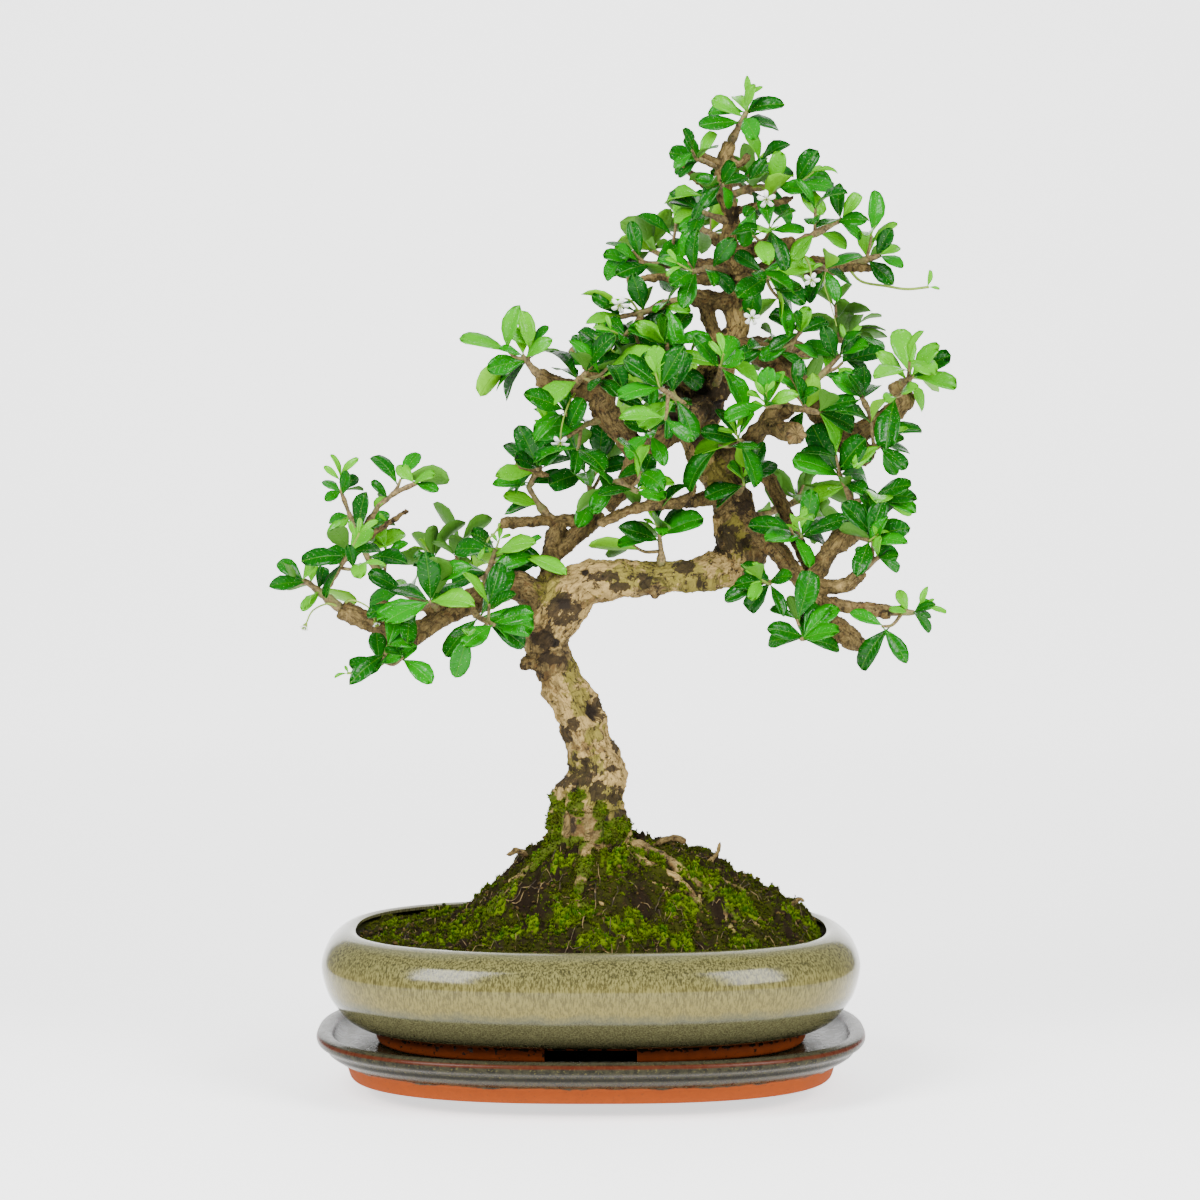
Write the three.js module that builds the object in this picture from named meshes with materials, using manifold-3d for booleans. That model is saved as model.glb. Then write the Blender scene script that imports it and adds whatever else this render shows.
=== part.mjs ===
// Fukien tea bonsai in an oval glazed pot on its saucer. Millimetres, +Z up, the saucer stands on z = 0.
// +X is to the right and -Y is towards the viewer of the front view.
import * as THREE from 'three';
import { mergeVertices } from 'three/addons/utils/BufferGeometryUtils.js';
import Module from 'manifold-3d';

const wasm = await Module();
wasm.setup();

// Driving dimensions of the ceramics
const POT_HALF_LENGTH = 150;
const SIDE_DIFFERENCE = 40; // half length less half depth, the same at every height
const CENTRE_REACH = 100; // inside this half length the oval shrinks evenly towards the centre
const SQUARENESS = 2.6; // exponent of the oval: 2 is an ellipse, more is squarer
const SAUCER_HALF_LENGTH = 153.3;
const WELL_FLOOR = 19;
const CLEARANCE = 0.35;
const POT_FOOT = WELL_FLOOR + CLEARANCE;
const POT_FLOOR = 34;
const POT_UNDERSIDE = 27.5;
const FOOT_GAP_FRONT = 50;
const FOOT_GAP_SIDE = 30;
const FOOT_GAP_TOP = 26.3;
const DRAIN_RADIUS = 10;
const DRAIN_OFFSET = 62;
const OVAL_STEPS = 26;

// Driving dimensions of the soil
const SOIL_EDGE = 76.5;
const MOUND_RISE = 54;
const MOUND_LEFT = 62;
const MOUND_RIGHT = 105;
const MOUND_DEPTH = 66;
const SOIL_CRUMB = 0.9;
const SOCKET_SWELL = 1.3; // the hole for the trunk, past the flutes of the root flare
const SOCKET_SIDES = 12;

// Driving dimensions of the drain screens
const SCREEN_SIDE = 34;
const SCREEN_THICKNESS = 1.2;
const SCREEN_HOLE = 7;
const SCREEN_PITCH = 10;

// Driving dimensions of the wood and the leaves
const TRUNK_SIDES = 8;
const TRUNK_STEP = 13;
const LIMB_SIDES = 5;
const LIMB_STEP = 21;
const ROOT_SIDES = 5;
const TWIG_SIDES = 3;
const TWIG_STEP = 13;
const TWIG_TIP_RADIUS = 1.3;
const FORK_SHARE = 0.75; // a fork's radius as a share of its twig's
const SEAT_GAP = 0.3; // between a limb's skin and the shoot that sits on it
const FIRST_LEAF = 5; // how far out of its limb a shoot's first leaf may root
const GNARL = 0.09; // share of the radius that bark ridges rise or sink
const FLUTES = 5; // round the root flare
const FLUTE_DEPTH = 0.13; // share of the radius
const FLARE_TOP = 160;
const FLARE_HEIGHT = 50;
const ROOT_END_SHARE = 0.6; // radius of a root's buried end as a share of its last one
const BLADE_THICKNESS = 0.7;
const BLADE_WIDTH = 0.47; // share of a leaf's length
const STALK_SHARE = 0.3; // share of a leaf's length that may cross its own shoot
const TWIG_SHARE = 0.35; // and its own twig
const TIP_MARGIN = 0.6; // between the last leaf's root and the end of its twig
const BACK_DEPTH = 22; // leaves that root further back turn away from the viewer
const FACING = 0.85; // how far a leaf's upper side turns to its side of the tree
const SKYWARD = 0.62; // and to the sky
const FULL_SIZE_ATTEMPTS = 8;
const SMALL_SIZE = 0.85;
const LEAF_GAP = 2.0;
const OWN_LEAF_GAP = 1.7;
const WOOD_GAP = 1.6;
const ATTEMPTS = 22;
const STRICT_ATTEMPTS = 16;
const INNER_TUFT_LEAVES = 2; // leaves of the tuft next to the limb
const TUFT_LEAVES = 3; // leaves of a tuft that shares its shoot with others
const LONE_TUFT_LEAVES = 4;
const ROOT_SPACING = 1.6;
const LEANS = [-22, 30, -48, 44, -8]; // degrees that a tuft's leaves lean away from the viewer, in turn

// The front view was read from here, so a point read in the plane y = 0 moves along the sight line
const EYE = new THREE.Vector3(5, -1900, 388);

// Trunk axis: across, depth, height, radius
const TRUNK = [
  [-1, 0, 84, 22], [-1, 0, 104, 25], [0, 0, 122, 24.5], [-2, 0, 139, 22], [0, 0, 155, 18.5],
  [4, 0, 169, 15], [-1, 0, 183, 12.5], [-5, 0, 197, 12.5], [-12, 0, 211, 11.7], [-18, -1, 222, 11.4],
  [-23, -2, 233, 11.5], [-25, -3, 244, 13.5], [-20, -4, 256, 14], [-10, -4, 269, 14], [5, -4, 275, 12],
  [27, -3, 276, 9.5], [49, -2, 277, 8.8], [74, 0, 281, 10], [85, 0, 288, 12], [81, 2, 300, 12],
  [80, 4, 314, 11.5], [74, 5, 328, 10], [67, 6, 339, 10.5], [60, 6, 353, 9.8], [62, 6, 375, 12.5],
  [72, 5, 396, 8], [81, 4, 414, 6.2], [79, 3, 428, 5.7], [80, 2, 444, 5], [76, 2, 461, 4.5],
  [78, 2, 475, 4.3], [74, 2, 490, 4.6], [73, 2, 505, 4.3], [77, 2, 517, 3.8],
];

// Limbs that are one piece with the trunk, written like the trunk
const LIMBS = [
  // low left
  [[-24, 0, 262, 10], [-42, -6, 272, 7.5], [-56, -10, 267, 7], [-78, -14, 258, 6], [-95, -16, 247, 5.4],
    [-106, -17, 243, 5.6], [-117, -19, 249, 5], [-128, -20, 254, 4.8], [-139, -20, 259, 5.2]],
  [[-84, -14, 259, 2.8], [-101, -22, 261, 2.5], [-119, -28, 260, 2.3]],
  [[-106, -17, 243, 5], [-112, -20, 235, 5.2], [-115, -20, 231, 5.6]],
  [[-14, -2, 232, 6], [-28, -6, 229, 4.2], [-39, -8, 229, 3.2]],
  // shoulder
  [[-24, 0, 262, 7], [-23, 6, 283, 5.2], [-22, 10, 294, 4.6], [-18, 12, 306, 4.2]],
  [[-22, 9, 288, 4.6], [-12, 14, 297, 4.6], [0, 18, 308, 5], [4, 20, 313, 5.6]],
  [[0, 18, 309, 3.2], [-25, 9, 308, 2.9], [-50, 2, 307, 2.8]],
  // middle left
  [[62, 5, 364, 8], [49, -4, 361, 7], [36, -10, 351, 6.4], [27, -12, 347, 6.4], [13, -16, 361, 5.8],
    [6, -18, 370, 6.2], [6, -18, 380, 8], [-8, -18, 381, 5], [-20, -20, 384, 4.6], [-29, -22, 388, 5.6]],
  [[27, -12, 347, 5.4], [19, -16, 328, 4.8], [8, -18, 316, 4.4]],
  [[6, -18, 382, 4.4], [-2, -22, 396, 3.4], [-11, -24, 404, 2.8]],
  [[74, 3, 322, 4.8], [47, -20, 318, 3.1], [24, -28, 315, 2.8], [4, -34, 306, 2.5]],
  [[62, 4, 376, 6], [45, 0, 385, 4.6], [34, -3, 391, 3.8]],
  // upper left and the slanting limb below it
  [[80, 3, 429, 5], [68, -1, 430, 4.6], [55, -3, 432, 4.6]],
  [[62, -2, 430, 4.2], [67, 0, 415, 3.6], [73, 3, 400, 4.2]],
  [[80, 2, 447, 5], [70, 6, 449, 4.6], [58, 10, 449, 4.2]],
  // upper right
  [[79, 2, 456, 4.6], [100, -8, 460, 4], [112, -13, 461, 3.5]],
  [[80, 2, 442, 5.4], [110, 10, 449, 5], [130, 15, 449, 4.4], [144, 17, 450, 4]],
  // right
  [[76, 4, 404, 7], [99, -4, 399, 6.5], [116, -10, 383, 6], [133, -14, 361, 6.5], [141, -16, 353, 7],
    [155, -18, 342, 5]],
  [[141, -16, 353, 6], [161, -20, 364, 5], [173, -22, 374, 5.6], [170, -22, 385, 6]],
  // centre, towards the viewer, with a stub sawn flat
  [[74, 0, 342, 5.5], [86, -13, 350, 5], [99, -24, 364, 5], [109, -30, 372, 5.4]],
  [[98, -23, 362, 4.6], [108, -38, 358, 4.8], [114, -50, 356, 5.4]],
  // low right
  [[80, 0, 312, 7], [98, -12, 298, 5.5], [111, -20, 282, 5], [123, -26, 266, 5], [131, -28, 255, 4.6],
    [126, -28, 244, 6.2]],
  [[129, -28, 257, 4.4], [144, -26, 243, 5.6], [151, -24, 239, 4]],
  [[125, -27, 263, 4], [140, -30, 261, 3.2], [155, -32, 259, 3.1], [167, -33, 257, 3.8]],
  [[74, 4, 330, 6], [91, 9, 337, 4.2], [104, 10, 322, 3.7], [113, 4, 300, 3.6], [121, -8, 284, 4],
    [122, -22, 270, 4]],
  [[121, -24, 272, 4.6], [133, -20, 291, 4.6], [144, -16, 303, 8]],
  [[144, -16, 303, 5], [151, -14, 309, 4], [156, -12, 316, 3]],
  [[122, -25, 272, 3.8], [141, -31, 272, 3.7], [151, -34, 280, 3.5]],
  // limbs that reach away from the viewer
  [[72, 4, 284, 7], [80, 30, 298, 5], [92, 52, 310, 4.2]],
  [[64, 8, 352, 7], [58, 34, 362, 5.2], [48, 58, 372, 4.2]],
  [[76, 6, 404, 5.4], [102, 34, 405, 4.6], [124, 54, 402, 3.8]],
  [[79, 4, 452, 4.6], [76, 28, 458, 4], [70, 46, 464, 3.4]],
  [[-16, 4, 262, 7], [-34, 34, 268, 4.8], [-58, 54, 276, 4]],
  // a limb that reaches towards the viewer
  [[63, -2, 372, 6], [58, -30, 366, 4.8], [52, -50, 371, 3.9]],
];

// Surface roots: across, depth, radius. Each runs down the mound, half sunk in it.
const ROOTS = [
  [[12, -14, 6], [26, -31, 3.6], [38, -35, 3.2], [48, -37, 2.8], [62, -52, 2]],
  [[16, -8, 6], [42, -26, 4], [62, -38, 2.8], [80, -50, 2.2], [88, -66, 1.8]],
  [[-14, -12, 6], [-33, -26, 3.8], [-47, -30, 2.8], [-59, -35, 1.8]],
  [[-2, -14, 7], [-3, -36, 4.6], [-8, -56, 2.4]],
  [[-6, 14, 7], [-14, 36, 4.2], [-30, 50, 2.2]],
];
const ROOT_RISE = 0.25; // share of its radius that a root's axis lies above the soil

// Leafy shoots. path and fork: across, depth, height of the twig's points, from its limb's axis.
// tufts: point of the twig, leaf length, then the clock angle of each leaf in degrees, 0 to the right
// and 90 up in the front view. forkTufts are the same for the fork.
const SHOOTS = [
  { name: 'left_tip', radius: 3,
    path: [[-139, -20, 259], [-152, -22, 269], [-160, -20, 275], [-169, -16, 271]],
    tufts: [[1, 16, 225, 75], [2, 23, 180, 150, 60]],
    fork: [[-150, -22, 267], [-143, -26, 277], [-134, -30, 291]],
    forkTufts: [[2, 25, 178, 60, 118, 20]] },
  { name: 'left_tall', radius: 2.8,
    path: [[-84, -14, 258], [-106, -2, 269], [-117, 2, 279], [-126, 4, 290], [-129, 4, 300],
      [-134, 6, 311], [-139, 8, 325]],
    tufts: [[1, 24, 150, 200, 60], [3, 29, 0, 32, 190], [4, 27, 75, 45], [5, 16, 211, 195],
      [6, 15, 70, 155, 200, 35]],
    fork: [[-128, 4, 296], [-122, -4, 311], [-112, -8, 322], [-97, -10, 329]],
    forkTufts: [[2, 13, 135, 190], [3, 18, 32, 140, 350]] },
  { name: 'left_under', radius: 2.6,
    path: [[-112, -20, 234], [-116, -31, 230], [-118, -40, 228]],
    tufts: [[2, 20, 183, 105, 20]] },
  { name: 'left_mid', radius: 2.8,
    path: [[-84, -14, 258], [-88, -28, 262], [-90, -38, 263]],
    tufts: [[2, 31, 96, 156, 203, 15, 190]] },
  { name: 'left_inner', radius: 2.8,
    path: [[-66, -12, 263], [-63, -28, 254], [-54, -38, 250]],
    tufts: [[1, 34, 345, 205], [2, 25, 15, 330, 212]] },
  { name: 'left_rise', radius: 2.8,
    path: [[-60, -10, 266], [-57, -4, 280], [-53, 2, 292]],
    tufts: [[1, 26, 170, 195, 60, 20], [2, 26, 27, 178, 140, 330]] },
  { name: 'left_far', radius: 2.8,
    path: [[-58, 54, 276], [-72, 62, 283], [-88, 64, 287]],
    tufts: [[1, 26, 100, 20, 250], [2, 27, 180, 130, 225, 60]] },
  { name: 'shoulder_left', radius: 2.8,
    path: [[-18, 12, 306], [-30, 6, 318], [-35, 0, 329], [-29, -5, 338]],
    tufts: [[1, 22, 165, 200, 100], [2, 21, 180, 20], [3, 26, 183, 135, 155, 100, 60]] },
  { name: 'shoulder_top', radius: 2.8,
    path: [[4, 20, 313], [0, 16, 324], [-3, 12, 335]],
    tufts: [[1, 22, 236, 10, 160], [2, 28, 55, 118, 195, 20]] },
  { name: 'shoulder_front', radius: 2.6,
    path: [[15, -17, 324], [14, -31, 331], [26, -38, 324]],
    tufts: [[1, 23, 236, 30, 100], [2, 22, 180, 18, 343, 60]] },
  { name: 'mid_left_tip', radius: 2.8,
    path: [[-25, -21, 386], [-33, -25, 393], [-38, -28, 400]],
    tufts: [[1, 26, 195, 230, 330], [2, 21, 40, 100, 165]] },
  { name: 'mid_left_rise', radius: 2.6,
    path: [[-10, -18, 381], [-7, -30, 386], [-2, -38, 391]],
    tufts: [[1, 29, 209, 160], [2, 29, 55, 15, 120, 85]] },
  { name: 'mid_left_knot', radius: 2.8,
    path: [[6, -18, 380], [12, -8, 393], [10, 2, 402]],
    tufts: [[2, 24, 185, 100, 60, 20, 150]] },
  { name: 'mid_left_hang', radius: 2.6,
    path: [[9, -17, 366], [-4, -26, 361], [-16, -30, 353]],
    tufts: [[1, 30, 185, 100, 240], [2, 26, 67, 200, 230, 120]] },
  { name: 'mid_left_heart', radius: 2.4,
    path: [[30, -11, 348], [34, -27, 353], [33, -38, 357]],
    tufts: [[2, 22, 290, 216, 150, 60]] },
  { name: 'burl_left', radius: 2.8,
    path: [[34, -3, 391], [24, -6, 397], [15, -8, 400]],
    tufts: [[1, 25, 80, 235, 300], [2, 25, 200, 160, 110]] },
  { name: 'burl_high', radius: 2.6,
    path: [[45, 0, 385], [43, -13, 396], [42, -22, 406]],
    tufts: [[1, 24, 200, 330], [2, 27, 150, 60, 100, 20]] },
  { name: 'burl_front', radius: 2.6,
    path: [[52, -50, 371], [46, -60, 377], [38, -66, 382]],
    tufts: [[1, 26, 216, 300, 20, 60], [2, 27, 150, 100, 190, 50]] },
  { name: 'burl_face', radius: 2.6,
    path: [[68, -2, 380], [71, -22, 388], [72, -33, 394]],
    tufts: [[2, 27, 130, 60, 20, 165, 250, 300]] },
  { name: 'centre_low', radius: 2.6,
    path: [[85, -12, 349], [83, -28, 352], [82, -38, 353]],
    tufts: [[2, 27, 165, 195, 70, 300, 120]] },
  { name: 'centre_front', radius: 2.6,
    path: [[107, -29, 371], [101, -40, 373], [97, -50, 372]],
    tufts: [[2, 22, 100, 60, 150, 200, 20]] },
  { name: 'centre_right', radius: 2.6,
    path: [[108, -29, 371], [118, -36, 370], [127, -42, 368]],
    tufts: [[1, 23, 100, 240], [2, 26, 20, 340, 60, 300]] },
  { name: 'second_left', radius: 3,
    path: [[55, -3, 432], [41, -6, 428], [27, -9, 423], [16, -12, 421]],
    tufts: [[1, 28, 237, 265, 60], [2, 22, 110, 300, 160], [3, 24, 190, 215, 150]],
    fork: [[28, -9, 423], [24, -20, 415], [18, -28, 410]],
    forkTufts: [[2, 21, 185, 150, 215, 20]] },
  { name: 'upper_left', radius: 3,
    path: [[58, 10, 449], [46, 12, 450], [34, 8, 450], [26, 3, 451]],
    tufts: [[1, 24, 60, 250, 120], [2, 26, 20, 43, 200], [3, 24, 170, 195, 150]],
    fork: [[45, 12, 450], [40, 28, 455], [33, 40, 458]],
    forkTufts: [[2, 25, 170, 100, 220, 30, 60]] },
  { name: 'upper_face', radius: 2.6,
    path: [[79, 2, 446], [66, -12, 448], [56, -20, 446]],
    tufts: [[1, 22, 60, 300], [2, 23, 250, 160, 210, 100]] },
  { name: 'apex', radius: 3,
    path: [[77, 2, 517], [81, 1, 523], [84, 0, 530], [86, 0, 534]],
    tufts: [[2, 26, 182, 355, 300], [3, 21, 146, 35, 75, 15, 170]] },
  { name: 'apex_left', radius: 2.4,
    path: [[73, 2, 503], [65, -4, 506], [59, -7, 508]],
    tufts: [[2, 19, 165, 195, 120, 225, 60]] },
  { name: 'apex_front', radius: 2.4,
    path: [[74, 2, 488], [73, -10, 492], [72, -18, 494]],
    tufts: [[2, 18, 165, 25, 60, 300, 220]] },
  { name: 'apex_far', radius: 2.4,
    path: [[75, 2, 492], [82, 16, 496], [88, 25, 499]],
    tufts: [[1, 19, 150, 30], [2, 21, 20, 100, 340, 150]] },
  { name: 'neck_left', radius: 2.4,
    path: [[77, 2, 473], [68, -3, 477], [61, -6, 479]],
    tufts: [[2, 21, 215, 190, 238, 150, 60]] },
  { name: 'upper_right_one', radius: 2.6,
    path: [[75, 2, 487], [88, -4, 492], [102, -6, 493], [114, -8, 494]],
    tufts: [[1, 19, 60, 300], [2, 22, 70, 290, 350], [3, 24, 352, 15, 320, 50]] },
  { name: 'upper_right_two', radius: 2.6,
    path: [[112, -13, 461], [126, -18, 468], [139, -20, 475]],
    tufts: [[1, 20, 225, 340, 70], [2, 19, 10, 330, 200, 100, 55]] },
  { name: 'upper_right_in', radius: 2.4,
    path: [[98, -7, 460], [98, -20, 466], [99, -29, 470]],
    tufts: [[2, 23, 0, 180, 45, 300, 120]] },
  { name: 'upper_right_three', radius: 2.8,
    path: [[144, 17, 450], [152, 14, 452], [160, 9, 455]],
    tufts: [[1, 21, 318, 95, 240], [2, 19, 70, 20, 330]] },
  { name: 'upper_right_low', radius: 2.6,
    path: [[92, 6, 445], [95, -10, 446], [98, -20, 443]],
    tufts: [[1, 24, 25, 160], [2, 31, 330, 310, 210, 15]] },
  { name: 'upper_right_mid', radius: 2.6,
    path: [[122, 13, 449], [127, 0, 449], [130, -9, 447]],
    tufts: [[2, 21, 300, 335, 80, 250, 20]] },
  { name: 'upper_far', radius: 2.6,
    path: [[70, 46, 464], [65, 56, 468], [58, 63, 470]],
    tufts: [[1, 24, 60, 330, 200], [2, 25, 170, 110, 230, 20]] },
  { name: 'right_tip', radius: 2.8,
    path: [[170, -22, 383], [176, -34, 386], [178, -43, 388]],
    tufts: [[1, 23, 140, 300, 15], [2, 29, 38, 100, 62, 350]] },
  { name: 'right_elbow', radius: 2.6,
    path: [[158, -19, 362], [153, -28, 371], [150, -34, 377]],
    tufts: [[2, 22, 125, 30, 160, 90, 210]] },
  { name: 'right_under', radius: 2.6,
    path: [[150, -18, 346], [157, -28, 349], [162, -35, 350]],
    tufts: [[2, 20, 325, 350, 20, 290, 200]] },
  { name: 'right_high', radius: 2.6,
    path: [[104, -6, 396], [111, -12, 406], [116, -16, 413]],
    tufts: [[1, 20, 200, 330], [2, 19, 70, 20, 110, 150]] },
  { name: 'right_crest', radius: 2.6,
    path: [[119, -11, 380], [130, -8, 391], [138, -6, 400]],
    tufts: [[1, 22, 345, 60, 120], [2, 21, 105, 155, 20, 60, 330]] },
  { name: 'right_far', radius: 2.6,
    path: [[124, 54, 402], [134, 60, 407], [144, 62, 411]],
    tufts: [[1, 24, 60, 200, 300], [2, 25, 10, 100, 340, 150]] },
  { name: 'mid_far', radius: 2.8,
    path: [[48, 58, 372], [40, 66, 377], [30, 70, 381]],
    tufts: [[1, 25, 60, 300, 120], [2, 26, 180, 140, 210, 90]] },
  { name: 'low_far', radius: 2.8,
    path: [[92, 52, 310], [104, 59, 315], [116, 63, 319]],
    tufts: [[1, 25, 100, 300, 200], [2, 26, 10, 60, 340, 130]] },
  { name: 'low_centre', radius: 2.6,
    path: [[80, 2, 322], [84, -18, 328], [85, -28, 328]],
    tufts: [[2, 25, 195, 30, 120, 215, 250, 70]] },
  { name: 'low_inner', radius: 2.6,
    path: [[113, 4, 302], [115, -8, 301], [117, -18, 299]],
    tufts: [[2, 29, 165, 30, 178, 10, 75, 205]] },
  { name: 'low_hang', radius: 2.4,
    path: [[111, -20, 282], [104, -29, 277], [99, -34, 273]],
    tufts: [[2, 23, 182, 235, 40, 150, 290]] },
  { name: 'low_tip', radius: 2.4,
    path: [[165, -33, 257], [173, -33, 257], [180, -32, 257]],
    tufts: [[2, 15, 150, 110, 355, 25, 325, 190]] },
  { name: 'low_end', radius: 2.6,
    path: [[126, -28, 245], [120, -37, 243], [117, -44, 242]],
    tufts: [[2, 27, 160, 190, 20, 70, 40, 350]] },
  { name: 'low_burl', radius: 2.8,
    path: [[144, -16, 303], [146, -17, 317], [141, -19, 328], [137, -21, 335]],
    tufts: [[2, 21, 95, 200, 345], [3, 29, 155, 15, 60, 130]],
    fork: [[145, -17, 318], [152, -21, 321], [158, -24, 322]],
    forkTufts: [[2, 28, 5, 345, 22, 325]] },
  { name: 'low_burl_side', radius: 2.4,
    path: [[146, -17, 301], [152, -29, 298], [155, -36, 297]],
    tufts: [[2, 26, 18, 320, 0, 65, 250]] },
  { name: 'low_side', radius: 2.4,
    path: [[149, -34, 279], [156, -36, 284], [160, -38, 288]],
    tufts: [[2, 15, 150, 60, 20, 100, 340]] },
  { name: 'bridge', radius: 2.8,
    path: [[39, -3, 279], [39, -8, 293], [38, -12, 300]],
    tufts: [[2, 26, 164, 47, 80, 20, 195]] },
];

// Blade outline from the root round to the root again: share of the length, share of the half width and
// lift as a share of the length
const BLADE_RIM = [
  [0, 0, 0], [0.62, 0.96, 0.05], [0.94, 0.52, -0.01], [1, -0.34, -0.03], [0.7, -1, 0.04],
];

const COLOURS = {
  glaze: 0x7d7a55, saucer: 0x4f5140, soil: 0x2b2118, bark: 0x8c7a5c, leaf: 0x2f8f1e, plastic: 0x1b1d1c,
};

// One number from 0 to 1 for each set of keys, the same on every run
function chance(...keys) {
  const weights = [12.9898, 78.233, 37.719];
  const mixed = Math.sin(keys.reduce((sum, key, i) => sum + key * weights[i], 0)) * 43758.5453;
  return mixed - Math.floor(mixed);
}

const swing = (...keys) => chance(...keys) * 2 - 1;

// A smooth bumpy field from -1 to 1 over space, with bumps about size across
function bumps(point, size) {
  const [x, y, z] = [point.x / size, point.y / size, point.z / size];
  const wide = Math.sin(x * 3.1 + z * 1.7 + 1.3);
  const deep = Math.sin(y * 2.7 - x * 1.9 + 0.4);
  return (wide + deep + Math.sin(z * 3.7 + y * 2.3)) / 3;
}

// A point read in the front view, pushed along the sight line to its depth
function seen(across, depth, height) {
  const stretch = 1 + depth / -EYE.y;
  return new THREE.Vector3(
    EYE.x + (across - EYE.x) * stretch, depth, EYE.z + (height - EYE.z) * stretch,
  );
}

// A closed geometry as a solid, with its faces pointing out
function solid(geometry) {
  const bare = geometry.clone();
  bare.deleteAttribute('normal');
  bare.deleteAttribute('uv');
  const merged = mergeVertices(bare, 1e-4);
  const corners = [];
  const { array } = merged.index;
  for (let i = 0; i < array.length; i += 3) {
    const [a, b, c] = array.slice(i, i + 3);
    if (a !== b && b !== c && c !== a) corners.push([a, b, c]);
  }
  const build = (triangles) => new wasm.Manifold(new wasm.Mesh({
    numProp: 3,
    vertProperties: new Float32Array(merged.attributes.position.array),
    triVerts: new Uint32Array(triangles.flat()),
  }));
  const body = build(corners);
  return body.volume() > 0 ? body : build(corners.map(([a, b, c]) => [a, c, b]));
}

const join = (bodies) => bodies.reduce((whole, body) => whole.add(body));

// A solid as a named mesh of the scene
function meshOf(name, body, colour, roughness) {
  const { vertProperties, triVerts } = body.getMesh();
  const geometry = new THREE.BufferGeometry();
  geometry.setAttribute('position', new THREE.BufferAttribute(new Float32Array(vertProperties), 3));
  geometry.setIndex(new THREE.BufferAttribute(new Uint32Array(triVerts), 1));
  geometry.computeVertexNormals();
  const material = new THREE.MeshStandardMaterial({ color: colour, roughness, metalness: 0 });
  const mesh = new THREE.Mesh(geometry, material);
  mesh.name = name;
  return mesh;
}

// Moves each vertex of a geometry by a function of its place
function reshape(geometry, move) {
  const { position } = geometry.attributes;
  const point = new THREE.Vector3();
  for (let i = 0; i < position.count; i += 1) {
    point.fromBufferAttribute(position, i);
    move(point);
    position.setXYZ(i, point.x, point.y, point.z);
  }
  return geometry;
}

// Ceramics

// Turns a round form into the oval plan that the pot, the saucer and the soil share
function toOval(point) {
  const reach = Math.hypot(point.x, point.y);
  if (reach < 1e-6) return;
  const depth = reach > CENTRE_REACH
    ? reach - SIDE_DIFFERENCE
    : reach * (1 - SIDE_DIFFERENCE / CENTRE_REACH);
  const [c, s] = [point.x / reach, point.y / reach];
  point.x = reach * Math.sign(c) * Math.abs(c) ** (2 / SQUARENESS);
  point.y = depth * Math.sign(s) * Math.abs(s) ** (2 / SQUARENESS);
}

// An oval form from its profile: half length and height of each point, from axis to axis
function ovalBody(profile, steps = OVAL_STEPS, finish = () => {}) {
  const geometry = new THREE.LatheGeometry(profile.map(([r, z]) => new THREE.Vector2(r, z)), steps);
  geometry.rotateX(Math.PI / 2);
  return solid(reshape(geometry, (point) => {
    toOval(point);
    finish(point);
  }));
}

function makeSaucer() {
  const rim = SAUCER_HALF_LENGTH;
  return ovalBody([
    [0, WELL_FLOOR], [137, WELL_FLOOR], [142, 21], [144.5, 25], [150.5, 25.5], [rim, 22.8], [152.5, 19.5],
    [147, 17], [146.5, 14.5], [137, 8.8], [134.7, 0], [125, 0], [124.5, 12], [0, 12],
  ]);
}

function makePot() {
  const widest = POT_HALF_LENGTH;
  const bowl = ovalBody([
    [0, POT_FLOOR], [115, POT_FLOOR], [136, 47], [143, 62], [138, 75], [131, 79], [133.5, 81.5],
    [139, 80], [146, 74], [widest, 63], [147, 48], [137, 33.5], [121, POT_UNDERSIDE], [119.5, POT_FOOT],
    [107, POT_FOOT], [106, POT_UNDERSIDE], [0, POT_UNDERSIDE],
  ]);
  const gapHeight = 2 * (FOOT_GAP_TOP - POT_FOOT);
  const frontGap = new THREE.BoxGeometry(FOOT_GAP_FRONT, 3 * widest, gapHeight);
  const sideGap = new THREE.BoxGeometry(3 * widest, FOOT_GAP_SIDE, gapHeight);
  const cuts = [frontGap, sideGap].map((gap) => gap.translate(0, 0, POT_FOOT));
  for (const side of [-1, 1]) {
    const drain = new THREE.CylinderGeometry(DRAIN_RADIUS, DRAIN_RADIUS, 3 * DRAIN_RADIUS, 16);
    cuts.push(drain.rotateX(Math.PI / 2).translate(side * DRAIN_OFFSET, 0, POT_FLOOR));
  }
  return cuts.reduce((body, cut) => body.subtract(solid(cut)), bowl);
}

// A square of plastic mesh over a drain hole
function makeScreen(side) {
  const box = (width, height, x, y) => solid(new THREE.BoxGeometry(width, width, height)
    .translate(side * DRAIN_OFFSET + x, y, POT_FLOOR + CLEARANCE + SCREEN_THICKNESS / 2));
  const places = [-SCREEN_PITCH / 2, SCREEN_PITCH / 2];
  const holes = places.flatMap((x) => places.map((y) => box(SCREEN_HOLE, 3 * SCREEN_THICKNESS, x, y)));
  return holes.reduce((plate, hole) => plate.subtract(hole), box(SCREEN_SIDE, SCREEN_THICKNESS, 0, 0));
}

// Soil

function moundHeight(x, y) {
  const q = Math.hypot(x / (x < 0 ? MOUND_LEFT : MOUND_RIGHT), y / MOUND_DEPTH);
  return SOIL_EDGE + MOUND_RISE * Math.exp(-(q ** 3));
}

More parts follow.
